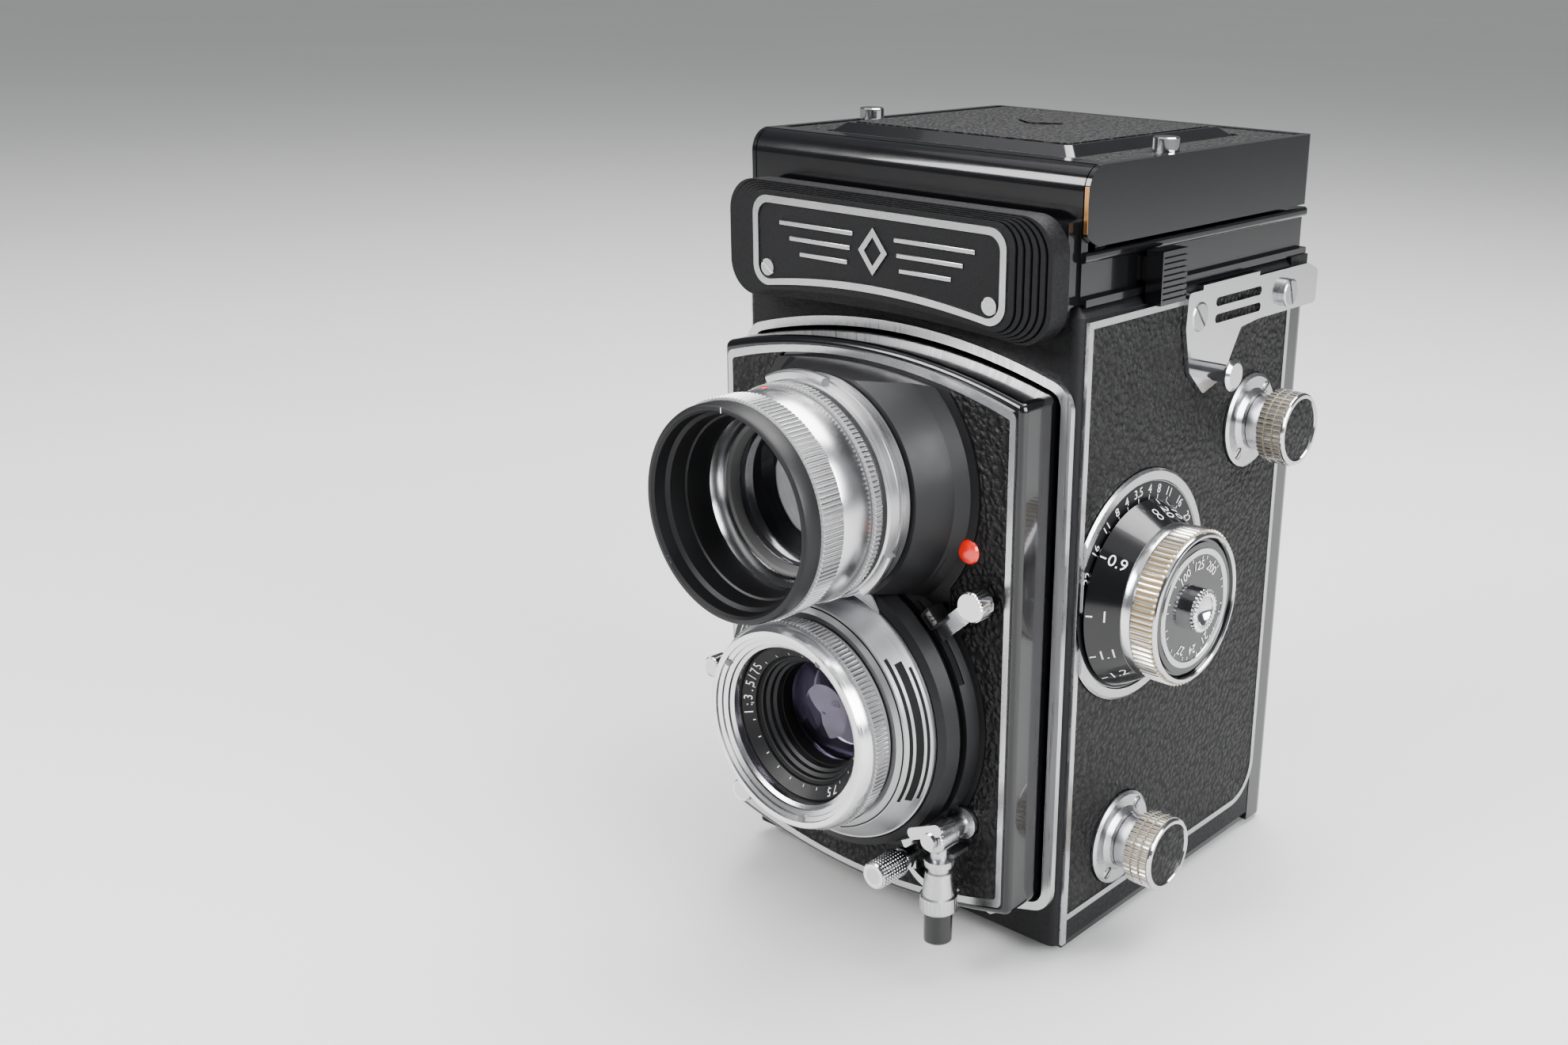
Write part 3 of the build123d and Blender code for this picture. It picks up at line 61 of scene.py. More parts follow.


# ---------------------------------------------------------------- materials
def shader(name, color, metallic=0.0, roughness=0.5, coat=0.0, coat_roughness=0.05, shine=0.5):
    """A Principled material; returns the material, its node tree and the shader node."""
    material = bpy.data.materials.new(name)
    material.use_nodes = True
    tree = material.node_tree
    principled = tree.nodes["Principled BSDF"]
    principled.inputs["Base Color"].default_value = (*color, 1.0)
    principled.inputs["Metallic"].default_value = metallic
    principled.inputs["Roughness"].default_value = roughness
    principled.inputs["Specular IOR Level"].default_value = shine
    principled.inputs["Coat Weight"].default_value = coat
    principled.inputs["Coat Roughness"].default_value = coat_roughness
    return material, tree, principled


def coordinates(tree, stretch=(1.0, 1.0, 1.0)):
    """Object coordinates, stretched per axis."""
    source = tree.nodes.new("ShaderNodeTexCoord")
    mapping = tree.nodes.new("ShaderNodeMapping")
    mapping.inputs["Scale"].default_value = stretch
    tree.links.new(source.outputs["Object"], mapping.inputs["Vector"])
    return mapping.outputs["Vector"]


def noise(tree, vector, scale, detail=3.0, roughness=0.5):
    """Value of a noise texture."""
    node = tree.nodes.new("ShaderNodeTexNoise")
    node.inputs["Scale"].default_value = scale
    node.inputs["Detail"].default_value = detail
    node.inputs["Roughness"].default_value = roughness
    tree.links.new(vector, node.inputs["Vector"])
    return node.outputs["Fac"]


def remap(tree, value, low, high, from_low=0.0, from_high=1.0):
    """Map a value from one range to another, clamped."""
    node = tree.nodes.new("ShaderNodeMapRange")
    node.inputs["From Min"].default_value = from_low
    node.inputs["From Max"].default_value = from_high
    node.inputs["To Min"].default_value = low
    node.inputs["To Max"].default_value = high
    tree.links.new(value, node.inputs["Value"])
    return node.outputs["Result"]


def combine(tree, operation, first, second):
    """Maths on two values; a plain number is set on its socket."""
    node = tree.nodes.new("ShaderNodeMath")
    node.operation = operation
    for socket, value in zip(node.inputs, (first, second)):
        if isinstance(value, (int, float)):
            socket.default_value = value
        else:
            tree.links.new(value, socket)
    return node.outputs["Value"]


def mix_colors(tree, factor, first, second):
    """Blend of two fixed colours; the numbered sockets are the colour ones."""
    node = tree.nodes.new("ShaderNodeMix")
    node.data_type = "RGBA"
    tree.links.new(factor, node.inputs["Factor"])
    node.inputs[6].default_value = (*first, 1.0)
    node.inputs[7].default_value = (*second, 1.0)
    return node.outputs[2]


def bump(tree, principled, height, distance, strength=1.0):
    """Drive the shader's normal from a height; distance is in metres."""
    node = tree.nodes.new("ShaderNodeBump")
    node.inputs["Strength"].default_value = strength
    node.inputs["Distance"].default_value = distance
    tree.links.new(height, node.inputs["Height"])
    tree.links.new(node.outputs["Normal"], principled.inputs["Normal"])


def leatherette(name, tint=0.012):
    """Pebbled black leatherette: raised grains with worn, slightly glossier tops."""
    material, tree, principled = shader(name, (tint, tint, tint), roughness=0.42, shine=0.32)
    vector = coordinates(tree)
    warp = tree.nodes.new("ShaderNodeTexNoise")
    warp.inputs["Scale"].default_value = 900.0
    warp.inputs["Detail"].default_value = 2.0
    tree.links.new(vector, warp.inputs["Vector"])
    shift = tree.nodes.new("ShaderNodeVectorMath")
    shift.operation = "SCALE"
    shift.inputs["Scale"].default_value = 0.0009
    tree.links.new(warp.outputs["Color"], shift.inputs[0])
    moved = tree.nodes.new("ShaderNodeVectorMath")
    tree.links.new(vector, moved.inputs[0])
    tree.links.new(shift.outputs["Vector"], moved.inputs[1])
    grains = tree.nodes.new("ShaderNodeTexVoronoi")
    grains.feature = "SMOOTH_F1"
    grains.inputs["Scale"].default_value = 950.0
    grains.inputs["Smoothness"].default_value = 0.35
    tree.links.new(moved.outputs["Vector"], grains.inputs["Vector"])
    grain = remap(tree, grains.outputs["Distance"], 1.0, 0.0, 0.1, 0.75)
    fine = noise(tree, vector, 5200.0, 2.0)
    height = combine(tree, "ADD", grain, combine(tree, "MULTIPLY", fine, 0.18))
    bump(tree, principled, height, 0.0004, 1.0)
    tree.links.new(remap(tree, grain, 0.55, 0.36), principled.inputs["Roughness"])
    valley = (tint * 0.5, tint * 0.5, tint * 0.5)
    top = (tint * 1.6, tint * 1.6, tint * 1.65)
    worn = mix_colors(tree, grain, valley, top)
    tree.links.new(worn, principled.inputs["Base Color"])
    return material


def lacquer(name, color=(0.006, 0.006, 0.007), roughness=0.16, coat=0.6):
    """Black lacquer, gloss unless stated, with faint handling marks."""
    material, tree, principled = shader(name, color, roughness=roughness, coat=coat, coat_roughness=0.04)
    vector = coordinates(tree)
    smudge = noise(tree, vector, 55.0, 5.0, 0.65)
    tree.links.new(remap(tree, smudge, roughness * 0.6, roughness * 1.7), principled.inputs["Roughness"])
    bump(tree, principled, noise(tree, vector, 260.0, 2.0), 0.00002, 0.5)
    return material


def wrinkle_paint(name, color=(0.01, 0.01, 0.011)):
    """Black crackle paint with a fine, dry grain."""
    material, tree, principled = shader(name, color, roughness=0.5, shine=0.3)
    vector = coordinates(tree)
    coarse = noise(tree, vector, 1500.0, 4.0, 0.7)
    fine = noise(tree, vector, 4200.0, 2.0, 0.5)
    height = combine(tree, "ADD", coarse, combine(tree, "MULTIPLY", fine, 0.4))
    bump(tree, principled, height, 0.00009, 1.0)
    tree.links.new(remap(tree, coarse, 0.32, 0.62, 0.3, 0.7), principled.inputs["Roughness"])
    return material


def matt_black(name, level=0.01):
    """Flat neutral paint or ink, black unless a lighter level is given, with a faint mottle."""
    material, tree, principled = shader(name, (level, level, level), roughness=0.6, shine=0.25)
    vector = coordinates(tree)
    mottle = noise(tree, vector, 900.0, 3.0)
    tree.links.new(remap(tree, mottle, 0.5, 0.72), principled.inputs["Roughness"])
    bump(tree, principled, mottle, 0.00002, 0.6)
    return material


def plated(name, color, roughness):
    """Plated metal with a fine grain and slightly uneven polish."""
    material, tree, principled = shader(name, color, metallic=1.0, roughness=roughness)
    vector = coordinates(tree)
    polish = noise(tree, vector, 140.0, 4.0, 0.6)
    uneven = remap(tree, polish, roughness * 0.7, roughness * 1.4, 0.25, 0.75)
    tree.links.new(uneven, principled.inputs["Roughness"])
    bump(tree, principled, noise(tree, vector, 2800.0, 2.0), 0.000004, 0.7)
    return material


def brushed(name, stretch, color=(0.62, 0.62, 0.63), roughness=0.34):
    """Brushed metal; the brush marks run along the axis with the smallest stretch."""
    material, tree, principled = shader(name, color, metallic=1.0, roughness=roughness)
    vector = coordinates(tree, stretch)
    lines = noise(tree, vector, 1.0, 4.0, 0.7)
    uneven = remap(tree, lines, roughness * 0.65, roughness * 1.4, 0.3, 0.7)
    tree.links.new(uneven, principled.inputs["Roughness"])
    tone = mix_colors(tree, lines, tuple(0.72 * c for c in color), tuple(min(1.0, 1.2 * c) for c in color))
    tree.links.new(tone, principled.inputs["Base Color"])
    bump(tree, principled, lines, 0.000012, 0.8)
    return material


def turned_metal(name, axis, centre, color, roughness=0.25, pitch=9000.0):
    """Metal turned on a lathe: fine rings round the axis through centre."""
    material, tree, principled = shader(name, color, metallic=1.0, roughness=roughness)
    radius = axis_distance(tree, axis, centre)
    rings = noise(tree, ring_vector(tree, radius), pitch, 3.0, 0.6)
    uneven = remap(tree, rings, roughness * 0.6, roughness * 1.5, 0.3, 0.7)
    tree.links.new(uneven, principled.inputs["Roughness"])
    bump(tree, principled, rings, 0.000008, 0.8)
    return material


def axis_distance(tree, axis, centre):
    """Distance in metres from an axis along X or Y through centre."""
    source = tree.nodes.new("ShaderNodeTexCoord")
    offset = tree.nodes.new("ShaderNodeVectorMath")
    offset.operation = "SUBTRACT"
    flat = tree.nodes.new("ShaderNodeVectorMath")
    flat.operation = "MULTIPLY"
    length = tree.nodes.new("ShaderNodeVectorMath")
    length.operation = "LENGTH"
    if axis == "x":
        offset.inputs[1].default_value = (0, centre[0] * MM, centre[1] * MM)
        flat.inputs[1].default_value = (0, 1, 1)
    else:
        offset.inputs[1].default_value = (centre[0] * MM, 0, centre[1] * MM)
        flat.inputs[1].default_value = (1, 0, 1)
    tree.links.new(source.outputs["Object"], offset.inputs[0])
    tree.links.new(offset.outputs["Vector"], flat.inputs[0])
    tree.links.new(flat.outputs["Vector"], length.inputs[0])
    return length.outputs["Value"]


def ring_vector(tree, radius):
    """Texture vector that changes only with the radius."""
    node = tree.nodes.new("ShaderNodeCombineXYZ")
    tree.links.new(radius, node.inputs["X"])
    return node.outputs["Vector"]


def grimy_knurl(name, axis, centre, edge, color, groove_dirt_and_shade=(0.2, 0.14, 0.07), width=0.18):
    """Knurled plating whose grooves, below the radius edge, take a darker, rougher, less metallic groove
    colour: painted shade in the grooves, with dried dirt where that colour is brown.
    """
    material, tree, principled = shader(name, color, metallic=1.0, roughness=0.2)
    radius = axis_distance(tree, axis, centre)
    # Mask from the grooves (0) to the tips (1); the groove colour it lays in the grooves is painted shade,
    # tinted brown for dirt on some knobs.
    outside_grooves = remap(tree, radius, 0.0, 1.0, (edge - width) * MM, edge * MM)
    tree.links.new(mix_colors(tree, outside_grooves, groove_dirt_and_shade, color), principled.inputs["Base Color"])
    tree.links.new(remap(tree, outside_grooves, 0.55, 0.2), principled.inputs["Roughness"])
    tree.links.new(remap(tree, outside_grooves, 0.35, 1.0), principled.inputs["Metallic"])
    bump(tree, principled, noise(tree, coordinates(tree), 2600.0, 2.0), 0.000006, 0.6)
    return material


def lens_glass(name, tint, depth_tint):
    """Coated glass: a body of depth_tint with a reflection of tint and a little dust."""
    material, tree, principled = shader(name, depth_tint, roughness=0.01, coat=1.0)
    principled.inputs["Transmission Weight"].default_value = 1.0
    principled.inputs["IOR"].default_value = 1.5
    principled.inputs["Specular Tint"].default_value = (*tint, 1.0)
    dust = noise(tree, coordinates(tree), 1500.0, 2.0, 0.6)
    tree.links.new(remap(tree, dust, 0.01, 0.08, 0.66, 0.8), principled.inputs["Coat Roughness"])
    return material


def enamel(name, color):
    """Glossy enamel with a slight orange peel."""
    material, tree, principled = shader(name, color, roughness=0.2, coat=1.0)
    bump(tree, principled, noise(tree, coordinates(tree), 900.0, 2.0), 0.000012, 0.5)
    return material


def floor_paint(name):
    """Pale matt paint with a very faint change of shade."""
    material, tree, principled = shader(name, (0.62, 0.62, 0.61), roughness=0.55)
    shade = noise(tree, coordinates(tree), 3.0, 2.0)
    tone = mix_colors(tree, shade, (0.6, 0.6, 0.595), (0.64, 0.64, 0.632))
    tree.links.new(tone, principled.inputs["Base Color"])
    return material


# ---------------------------------------------------------------- mesh helpers
def add_mesh(name, verts, faces, material, body, sharp=32):
    """A mesh object in the CAD frame, from millimetres, riding on a CAD body."""
    mesh = bpy.data.meshes.new(name)
    mesh.from_pydata([Vector(v) * MM for v in verts], [], faces)
    shape = bmesh.new()
    shape.from_mesh(mesh)
    bmesh.ops.remove_doubles(shape, verts=shape.verts, dist=1e-7)
    bmesh.ops.recalc_face_normals(shape, faces=shape.faces)
    shape.to_mesh(mesh)
    shape.free()
    mesh.polygons.foreach_set("use_smooth", [True] * len(mesh.polygons))
    mesh.set_sharp_from_angle(angle=math.radians(sharp))
    mesh.materials.append(material)
    piece = bpy.data.objects.new(name, mesh)
    bpy.context.scene.collection.objects.link(piece)
    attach(piece, body)
    return piece


def on_axis(axis, centre, radius, height, angle):
    """Point at a radius, height and angle round an axis through centre."""
    across = centre[0] + radius * math.cos(angle)
    up = centre[1] + radius * math.sin(angle)
    if axis == "x":
        return (height, across, up)
    if axis == "y":
        return (across, height, up)
    return (across, up, height)


TOOTH = (0.0, 0.0, 0.5, 1.0, 1.0, 0.5)   # depth of one knurl groove, station by station


def lathe(name, axis, centre, profile, material, body, teeth=0, steps=160, sweep=None):
    """Turn a closed profile of (radius, height[, groove depth]) round an axis.

    teeth cuts that many grooves into the points that state a depth. sweep limits the turn to two angles.
    """
    count = teeth * len(TOOTH) if teeth else steps
    start, end = (math.radians(a) for a in sweep) if sweep else (0.0, 2 * math.pi)
    verts = []
    stations = count + 1 if sweep else count
    for station in range(stations):
        angle = start + (end - start) * station / count
        for point in profile:
            depth = point[2] * TOOTH[station % len(TOOTH)] if len(point) > 2 else 0.0
            verts.append(on_axis(axis, centre, point[0] - depth, point[1], angle))
    size = len(profile)
    faces = []
    for station in range(count):
        here = station * size
        there = ((station + 1) % stations) * size
        for k in range(size):
            n = (k + 1) % size
            faces.append((here + k, here + n, there + n, there + k))
    if sweep:
        faces.append(tuple(range(size)))
        faces.append(tuple(reversed(range(count * size, (count + 1) * size))))
    return add_mesh(name, verts, faces, material, body)


def slab(name, low, high, material, body, bevel=0.0):
    """Box between two corners, with bevelled edges if bevel is given."""
    verts = [(x, y, z) for x in (low[0], high[0]) for y in (low[1], high[1]) for z in (low[2], high[2])]
    faces = [(0, 1, 3, 2), (4, 6, 7, 5), (0, 4, 5, 1), (2, 3, 7, 6), (0, 2, 6, 4), (1, 5, 7, 3)]
    piece = add_mesh(name, verts, faces, material, body)
    if bevel:
        edge = piece.modifiers.new("edge", "BEVEL")
        edge.width = bevel * MM
        edge.segments = 3
    return piece


def band_faces(count):
    """Quads that join four matching rings of count points into a closed band."""
    faces = []
    for ring in range(4):
        following = (ring + 1) % 4
        for k in range(count):
            n = (k + 1) % count
            faces.append((ring * count + k, ring * count + n, following * count + n, following * count + k))
    return faces


def loop_band(name, outer, inner, front, rear, material, body):
    """Flat band between two matching closed paths of (x, z), from y = front to y = rear."""
    verts = []
    for path, y in ((outer, front), (inner, front), (inner, rear), (outer, rear)):
        verts += [(x, y, z) for x, z in path]
    return add_mesh(name, verts, band_faces(len(outer)), material, body)


def plate_from_path(name, path, place, depth, material, body):
    """Flat plate whose outline is a closed path of 2-D points; place maps (u, v, w) to the frame."""
    count = len(path)
    verts = [place(u, v, 0.0) for u, v in path] + [place(u, v, depth) for u, v in path]
    faces = [tuple(range(count)), tuple(reversed(range(count, 2 * count)))]
    faces += [(k, (k + 1) % count, count + (k + 1) % count, count + k) for k in range(count)]
    return add_mesh(name, verts, faces, material, body)


def rounded_rectangle(left, right, low, high, radius, steps=8):
    """Closed path of a rectangle with round corners."""
    path = []
    corners = ((right, high, 0), (left, high, 90), (left, low, 180), (right, low, 270))
    for x, z, start in corners:
        cx = x - radius if x == right else x + radius
        cz = z - radius if z == high else z + radius
        for step in range(steps + 1):
            angle = math.radians(start + 90 * step / steps)
            path.append((cx + radius * math.cos(angle), cz + radius * math.sin(angle)))
    return path


def glyph(text, size):
    """Flat mesh data of a short text, centred, as verts in millimetres and faces."""
    curve = bpy.data.curves.new("glyph", "FONT")
    curve.body = text
    curve.size = size
    curve.align_x = "CENTER"
    curve.align_y = "CENTER"
    curve.resolution_u = 3
    holder = bpy.data.objects.new("glyph", curve)
    bpy.context.scene.collection.objects.link(holder)
    mesh = bpy.data.meshes.new_from_object(holder.evaluated_get(bpy.context.evaluated_depsgraph_get()))
    verts = [v.co.copy() for v in mesh.vertices]
    faces = [tuple(p.vertices) for p in mesh.polygons]
    bpy.data.objects.remove(holder)
    bpy.data.meshes.remove(mesh)
    return verts, faces


def ring_text(text, centre, radius, y, start, step, size, lean):
    """Characters set one by one round a ring that faces -Y, clockwise from start degrees."""
    items = []
    for place, mark in enumerate(text):
        items.append((mark, size, dial_y(centre, radius, y, start + step * place, lean)))
    return items


def frame_matrix(right, up, origin):
    """Matrix that lays flat marks at origin, reading along right with their tops towards up."""
    right = Vector(right).normalized()
    up = Vector(up)
    up = (up - right * up.dot(right)).normalized()
    matrix = Matrix((right, up, right.cross(up))).transposed().to_4x4()
    matrix.translation = Vector(origin)
    return matrix


def marks(name, items, material, body):
    """Printed marks in one mesh. An item is (text, size, matrix), or (None, (w, h), matrix) for a bar."""
    verts, faces = [], []
    for text, size, matrix in items:
        if text is None:
            w, h = size[0] / 2, size[1] / 2
            points = [Vector(p) for p in ((-w, -h, 0), (w, -h, 0), (w, h, 0), (-w, h, 0))]
            polygons = [(0, 1, 2, 3)]
        else:
            points, polygons = glyph(text, size)
        base = len(verts)
        verts += [matrix @ p for p in points]
        faces += [tuple(base + k for k in polygon) for polygon in polygons]
    mesh = bpy.data.meshes.new(name)
    mesh.from_pydata([v * MM for v in verts], [], faces)
    mesh.materials.append(material)
    piece = bpy.data.objects.new(name, mesh)
    bpy.context.scene.collection.objects.link(piece)
    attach(piece, body)
    return piece


def dial_x(centre, radius, x, clock, tilt=0.0, side=1):
    """Matrix for a mark on a dial facing +X (side 1) or -X (side -1); clock is degrees from the top."""
    a = math.radians(clock)
    outward = Vector((0, side * math.sin(a), math.cos(a)))
    along = Vector((0, side * math.cos(a), -math.sin(a)))
    origin = Vector((x, centre[0], centre[1])) + outward * radius
    return frame_matrix(along, outward * math.cos(tilt) + Vector((-side * math.sin(tilt), 0, 0)), origin)


def dial_y(centre, radius, y, clock, lean=0.0):
    """Matrix for a mark on a dial facing -Y, with its top outward; lean tips the top backwards."""
    a = math.radians(clock)
    outward = Vector((math.sin(a), 0, math.cos(a)))
    along = Vector((math.cos(a), 0, -math.sin(a)))
    origin = Vector((centre[0], y, centre[1])) + outward * radius
    return frame_matrix(along, outward * math.cos(lean) + Vector((0, math.sin(lean), 0)), origin)


# ---------------------------------------------------------------- materials in use
def make_materials():
    """All shared finishes by the short names that the functions below use."""
    return {
        "leather": leatherette("leatherette"),
        "lacquer": lacquer("gloss_lacquer"),
        "satin_black": lacquer("satin_black", (0.007, 0.007, 0.008), 0.42, 0.0),
        "wrinkle": wrinkle_paint("wrinkle_paint"),
        "matt": matt_black("matt_black"),
        "chrome": plated("satin_chrome", (0.5, 0.5, 0.51), 0.25),
        "bright": plated("bright_chrome", (0.6, 0.6, 0.61), 0.12),
        "steel": plated("steel", (0.5, 0.5, 0.5), 0.3),
        "arc": brushed("brushed_arc", (3200.0, 400.0, 45.0)),
        "plate": turned_metal("shutter_plate_metal", "y", TAKING, (0.42, 0.42, 0.43), 0.36),
        "funnel": turned_metal("funnel_metal", "y", TAKING, (0.7, 0.7, 0.71), 0.2, 6000.0),
        "band": turned_metal("band_metal", "y", VIEWING, (0.6, 0.6, 0.61), 0.2, 6000.0),
        "front_glass": lens_glass("front_glass", (0.75, 0.6, 1.0), (0.3, 0.27, 0.36)),
        "view_glass": lens_glass("view_glass", (0.9, 0.92, 1.0), (0.6, 0.6, 0.63)),
        "white_ink": matt_black("white_ink", 0.72),
        "black_ink": matt_black("black_ink", 0.008),
        "tan": matt_black("aged_ring", 0.16),
        "red": enamel("red_enamel", (0.75, 0.03, 0.015)),
        "brass": plated("worn_brass", (0.75, 0.42, 0.2), 0.25),
    }


def paint_frame(frame, m):
    """Give every CAD node that stays visible its finish, and round its sharp edges a little."""
    finishes = {
        "wrinkle": ("body_casting", "nameplate"),
        "matt": ("light_box", "side_leaf_right", "side_leaf_left", "rear_leaf", "magnifier_frame",
                 "pressure_plate", "supply_spool", "takeup_spool", "taking_cell"),
        "leather": ("side_leathers", "panel_leather", "door_leather"),
        "lacquer": ("finder_base", "back_door", "hood_lid", "finder_door", "lens_panel", "hood_release"),
        "satin_black": ("lens_shield", "shutter_housing", "counter_disc"),
        "chrome": ("side_trims", "panel_trim", "focus_scale", "spool_flanges", "left_bosses",
                   "slotted_screws", "viewing_bayonet", "release_socket"),
        "bright": ("strap_lugs", "tripod_socket", "latch_bail", "feet", "lid_pins", "speed_lever",
                   "aperture_lever", "timer_lever", "cocking_lever", "sync_lock", "mirror"),
        "steel": ("hinge_pins", "film_roller_lower", "film_roller_upper", "shutter_blades"),
        "arc": ("front_arc_frame",),
        "plate": ("shutter_plate",),
        "front_glass": ("taking_lens",),
        "view_glass": ("viewing_lens", "magnifier_lens", "attachment_lens", "ground_glass"),
    }
    for finish, nodes in finishes.items():
        for node in nodes:
            mesh = frame["nodes"][node].data
            for index in range(len(mesh.materials)):
                mesh.materials[index] = m[finish]
    soft_edges = {
        "hood_lid": 0.35, "finder_base": 0.25, "lens_panel": 0.2, "nameplate": 0.09, "back_door": 0.3,
        "finder_door": 0.25, "strap_lugs": 0.12, "panel_trim": 0.1, "side_trims": 0.1,
        "front_arc_frame": 0.15, "body_casting": 0.25, "side_leathers": 0.12, "panel_leather": 0.1,
        "hood_release": 0.1, "slotted_screws": 0.06,
    }
    for node, width in soft_edges.items():
        edge = frame["nodes"][node].modifiers.new("soft_edge", "BEVEL")
        edge.width = width * MM
        edge.segments = 2
        edge.limit_method = "ANGLE"
        edge.angle_limit = math.radians(40)


# ---------------------------------------------------------------- right side
def focusing_knob(m):
    """Distance drum, satin ring, knurled wheel with its bright rim, and dished front."""
    x, face = WHEEL_BACK, WHEEL_FACE
    drum_end = x + DRUM_START + DRUM_LENGTH
    coarse = grimy_knurl("focus_wheel_metal", "x", FOCUS, 13.8, (0.74, 0.73, 0.7), (0.3, 0.22, 0.11), 0.4)
    satin = turned_metal("focus_rim_metal", "x", FOCUS, (0.72, 0.72, 0.73), 0.18)
    lathe("focus_drum", "x", FOCUS,
          [(3, x), (DRUM_RADIUS - 0.3, x), (DRUM_RADIUS, x + DRUM_START),
           (DRUM_RADIUS - DRUM_DROP, drum_end), (3, drum_end)],
          m["lacquer"], "focus_knob")
    lathe("focus_satin_ring", "x", FOCUS,
          [(3, drum_end), (13.75, drum_end), (13.8, x + 6.0), (13.4, x + 7.2), (13.5, x + 7.55),
           (3, x + 7.55)],
          satin, "focus_knob")
    wheel = lathe("focus_wheel", "x", FOCUS,
                  [(12.6, x + 7.5), (13.45, x + 7.5), (13.92, x + 7.75, 0.55), (13.92, face - 0.75, 0.55),
                   (13.5, face - 0.45, 0.2), (12.6, face - 0.45)],
                  coarse, "focus_knob", teeth=82)
    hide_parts("focus_knob")
    lathe("focus_rim", "x", FOCUS,
          [(12.5, face - 0.5), (13.42, face - 0.5), (13.25, face - 0.15), (12.95, face), (12.6, face),
           (12.45, face - 0.3)],
          m["bright"], "focus_knob")
    lathe("focus_dish", "x", FOCUS,
          [(3.8, x + 7.5), (12.6, x + 7.5), (12.6, face - 0.3), (12.45, face - 0.35), (12.1, face - 0.95),
           (3.8, face - 0.95)],
          m["lacquer"], "focus_knob")
    items = []
    for metres in (20, 10, 5, 3, 2, 1.5, 1.2, 1.1, 1, NEAREST):
        items += drum_mark(str(metres), FOCUS_SWEEP * (NEAREST - TWICE_FOCAL) / (metres - TWICE_FOCAL))
    items += infinity_mark()
    marks("focus_distances", items, m["white_ink"], "focus_knob")


def drum_matrix(along, clock):
    """Matrix for a mark on the distance drum, along from its back edge and reading away from the body."""
    a = math.radians(clock)
    outward = Vector((0, math.sin(a), math.cos(a)))
    radius = DRUM_RADIUS - (along - DRUM_START) * DRUM_DROP / DRUM_LENGTH + DRUM_LIFT
    point = Vector((WHEEL_BACK + along + DRUM_LIFT * 0.6, FOCUS[0], FOCUS[1])) + outward * radius
    slant = math.atan2(DRUM_DROP, DRUM_LENGTH)
    reading = Vector((math.cos(slant), 0, 0)) - outward * math.sin(slant)
    return frame_matrix(reading, Vector((0, outward.z, -outward.y)), point)


def drum_mark(text, clock):
    """A distance numeral and its tick near the body."""
    return [(text, 2.9, drum_matrix(DRUM_NUMERALS, clock)), (None, (1.1, 0.28), drum_matrix(1.1, clock))]


def infinity_mark():
    """The infinity sign: two small rings of short bars, side by side on the drum."""
    matrix = drum_matrix(DRUM_NUMERALS, 0.0)
    bars = 14
    items = []
    for centre in (-0.62, 0.62):
        for step in range(bars):
            a = 2 * math.pi * step / bars
            place = Matrix.Translation((centre + 0.55 * math.cos(a), 0.55 * math.sin(a), 0))
            items.append((None, (0.22, 0.3), matrix @ (place @ Matrix.Rotation(a, 4, "Z"))))
    return items


def film_speed_dial(m):
    """Lacquered disc with a bright ring, a serrated hub and film speed numbers."""
    face = WHEEL_FACE
    disc = lathe("film_speed_disc", "x", FOCUS,
                 [(2, face - 0.9), (11.7, face - 0.9), (11.7, face - 0.55), (2, face - 0.5)],
                 m["lacquer"], "film_speed_dial")
    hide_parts("film_speed_dial")
    lathe("film_speed_ring", "x", FOCUS,
          [(9.5, face - 0.6), (10.7, face - 0.6), (10.6, face - 0.36), (9.6, face - 0.36)],
          m["bright"], "film_speed_dial")
    hub_metal = turned_metal("hub_metal", "x", FOCUS, (0.8, 0.8, 0.81), 0.16)
    lathe("film_speed_hub", "x", FOCUS,
          [(2.5, face - 0.6), (3.75, face - 0.6), (3.75, face + 0.9), (3.9, face + 1.1, 0.3),
           (3.85, face + 1.55, 0.3), (3.3, face + 1.75, 0.25), (2.6, face + 1.6)],
          hub_metal, "film_speed_dial", teeth=30)
    lathe("film_speed_core", "x", FOCUS,
          [(0, face - 0.5), (2.6, face - 0.5), (2.62, face + 1.4), (2.3, face + 1.0), (1.2, face + 0.3),
           (0, face + 0.2)],
          m["bright"], "film_speed_dial")
    printed = face - 0.46
    items = []
    for text, clock in (("100", -30), ("125", 4), ("200", 38), ("21", 150), ("24", 180), ("27", 210)):
        items.append((text, 2.3, dial_x(FOCUS, 7.6, printed, clock)))
    for step in range(36):
        if step % 3:
            items.append((None, (0.16, 0.6), dial_x(FOCUS, 9.0, printed, step * 10)))
    marks("film_speed_numbers", items, m["white_ink"], "film_speed_dial")


def depth_of_field_scale(m):
    """Black inlay and numerals on the plate behind the focusing knob."""
    plate_x = SIDE + 1.02
    printed = plate_x + 0.09
    middle = -6
    lathe("scale_inlay", "x", SCALE,
          [(14.0, plate_x - 0.1), (18.7, plate_x - 0.1), (18.7, plate_x + 0.06), (14.0, plate_x + 0.06)],
          m["satin_black"], "body", sweep=(-178, 158))
    items = []
    for text, clock in (("3.5", 0), ("4", 12), ("8", 22), ("11", 34), ("16", 49), ("22", 65)):
        for side in (1, -1) if clock else (1,):
            items.append((text, 2.3, dial_x(SCALE, 17.3, printed, side * clock + middle)))
            items.append((None, (0.2, 0.9), dial_x(SCALE, 15.9, printed, side * clock + middle)))
    marks("scale_numbers", items, m["white_ink"], "body")


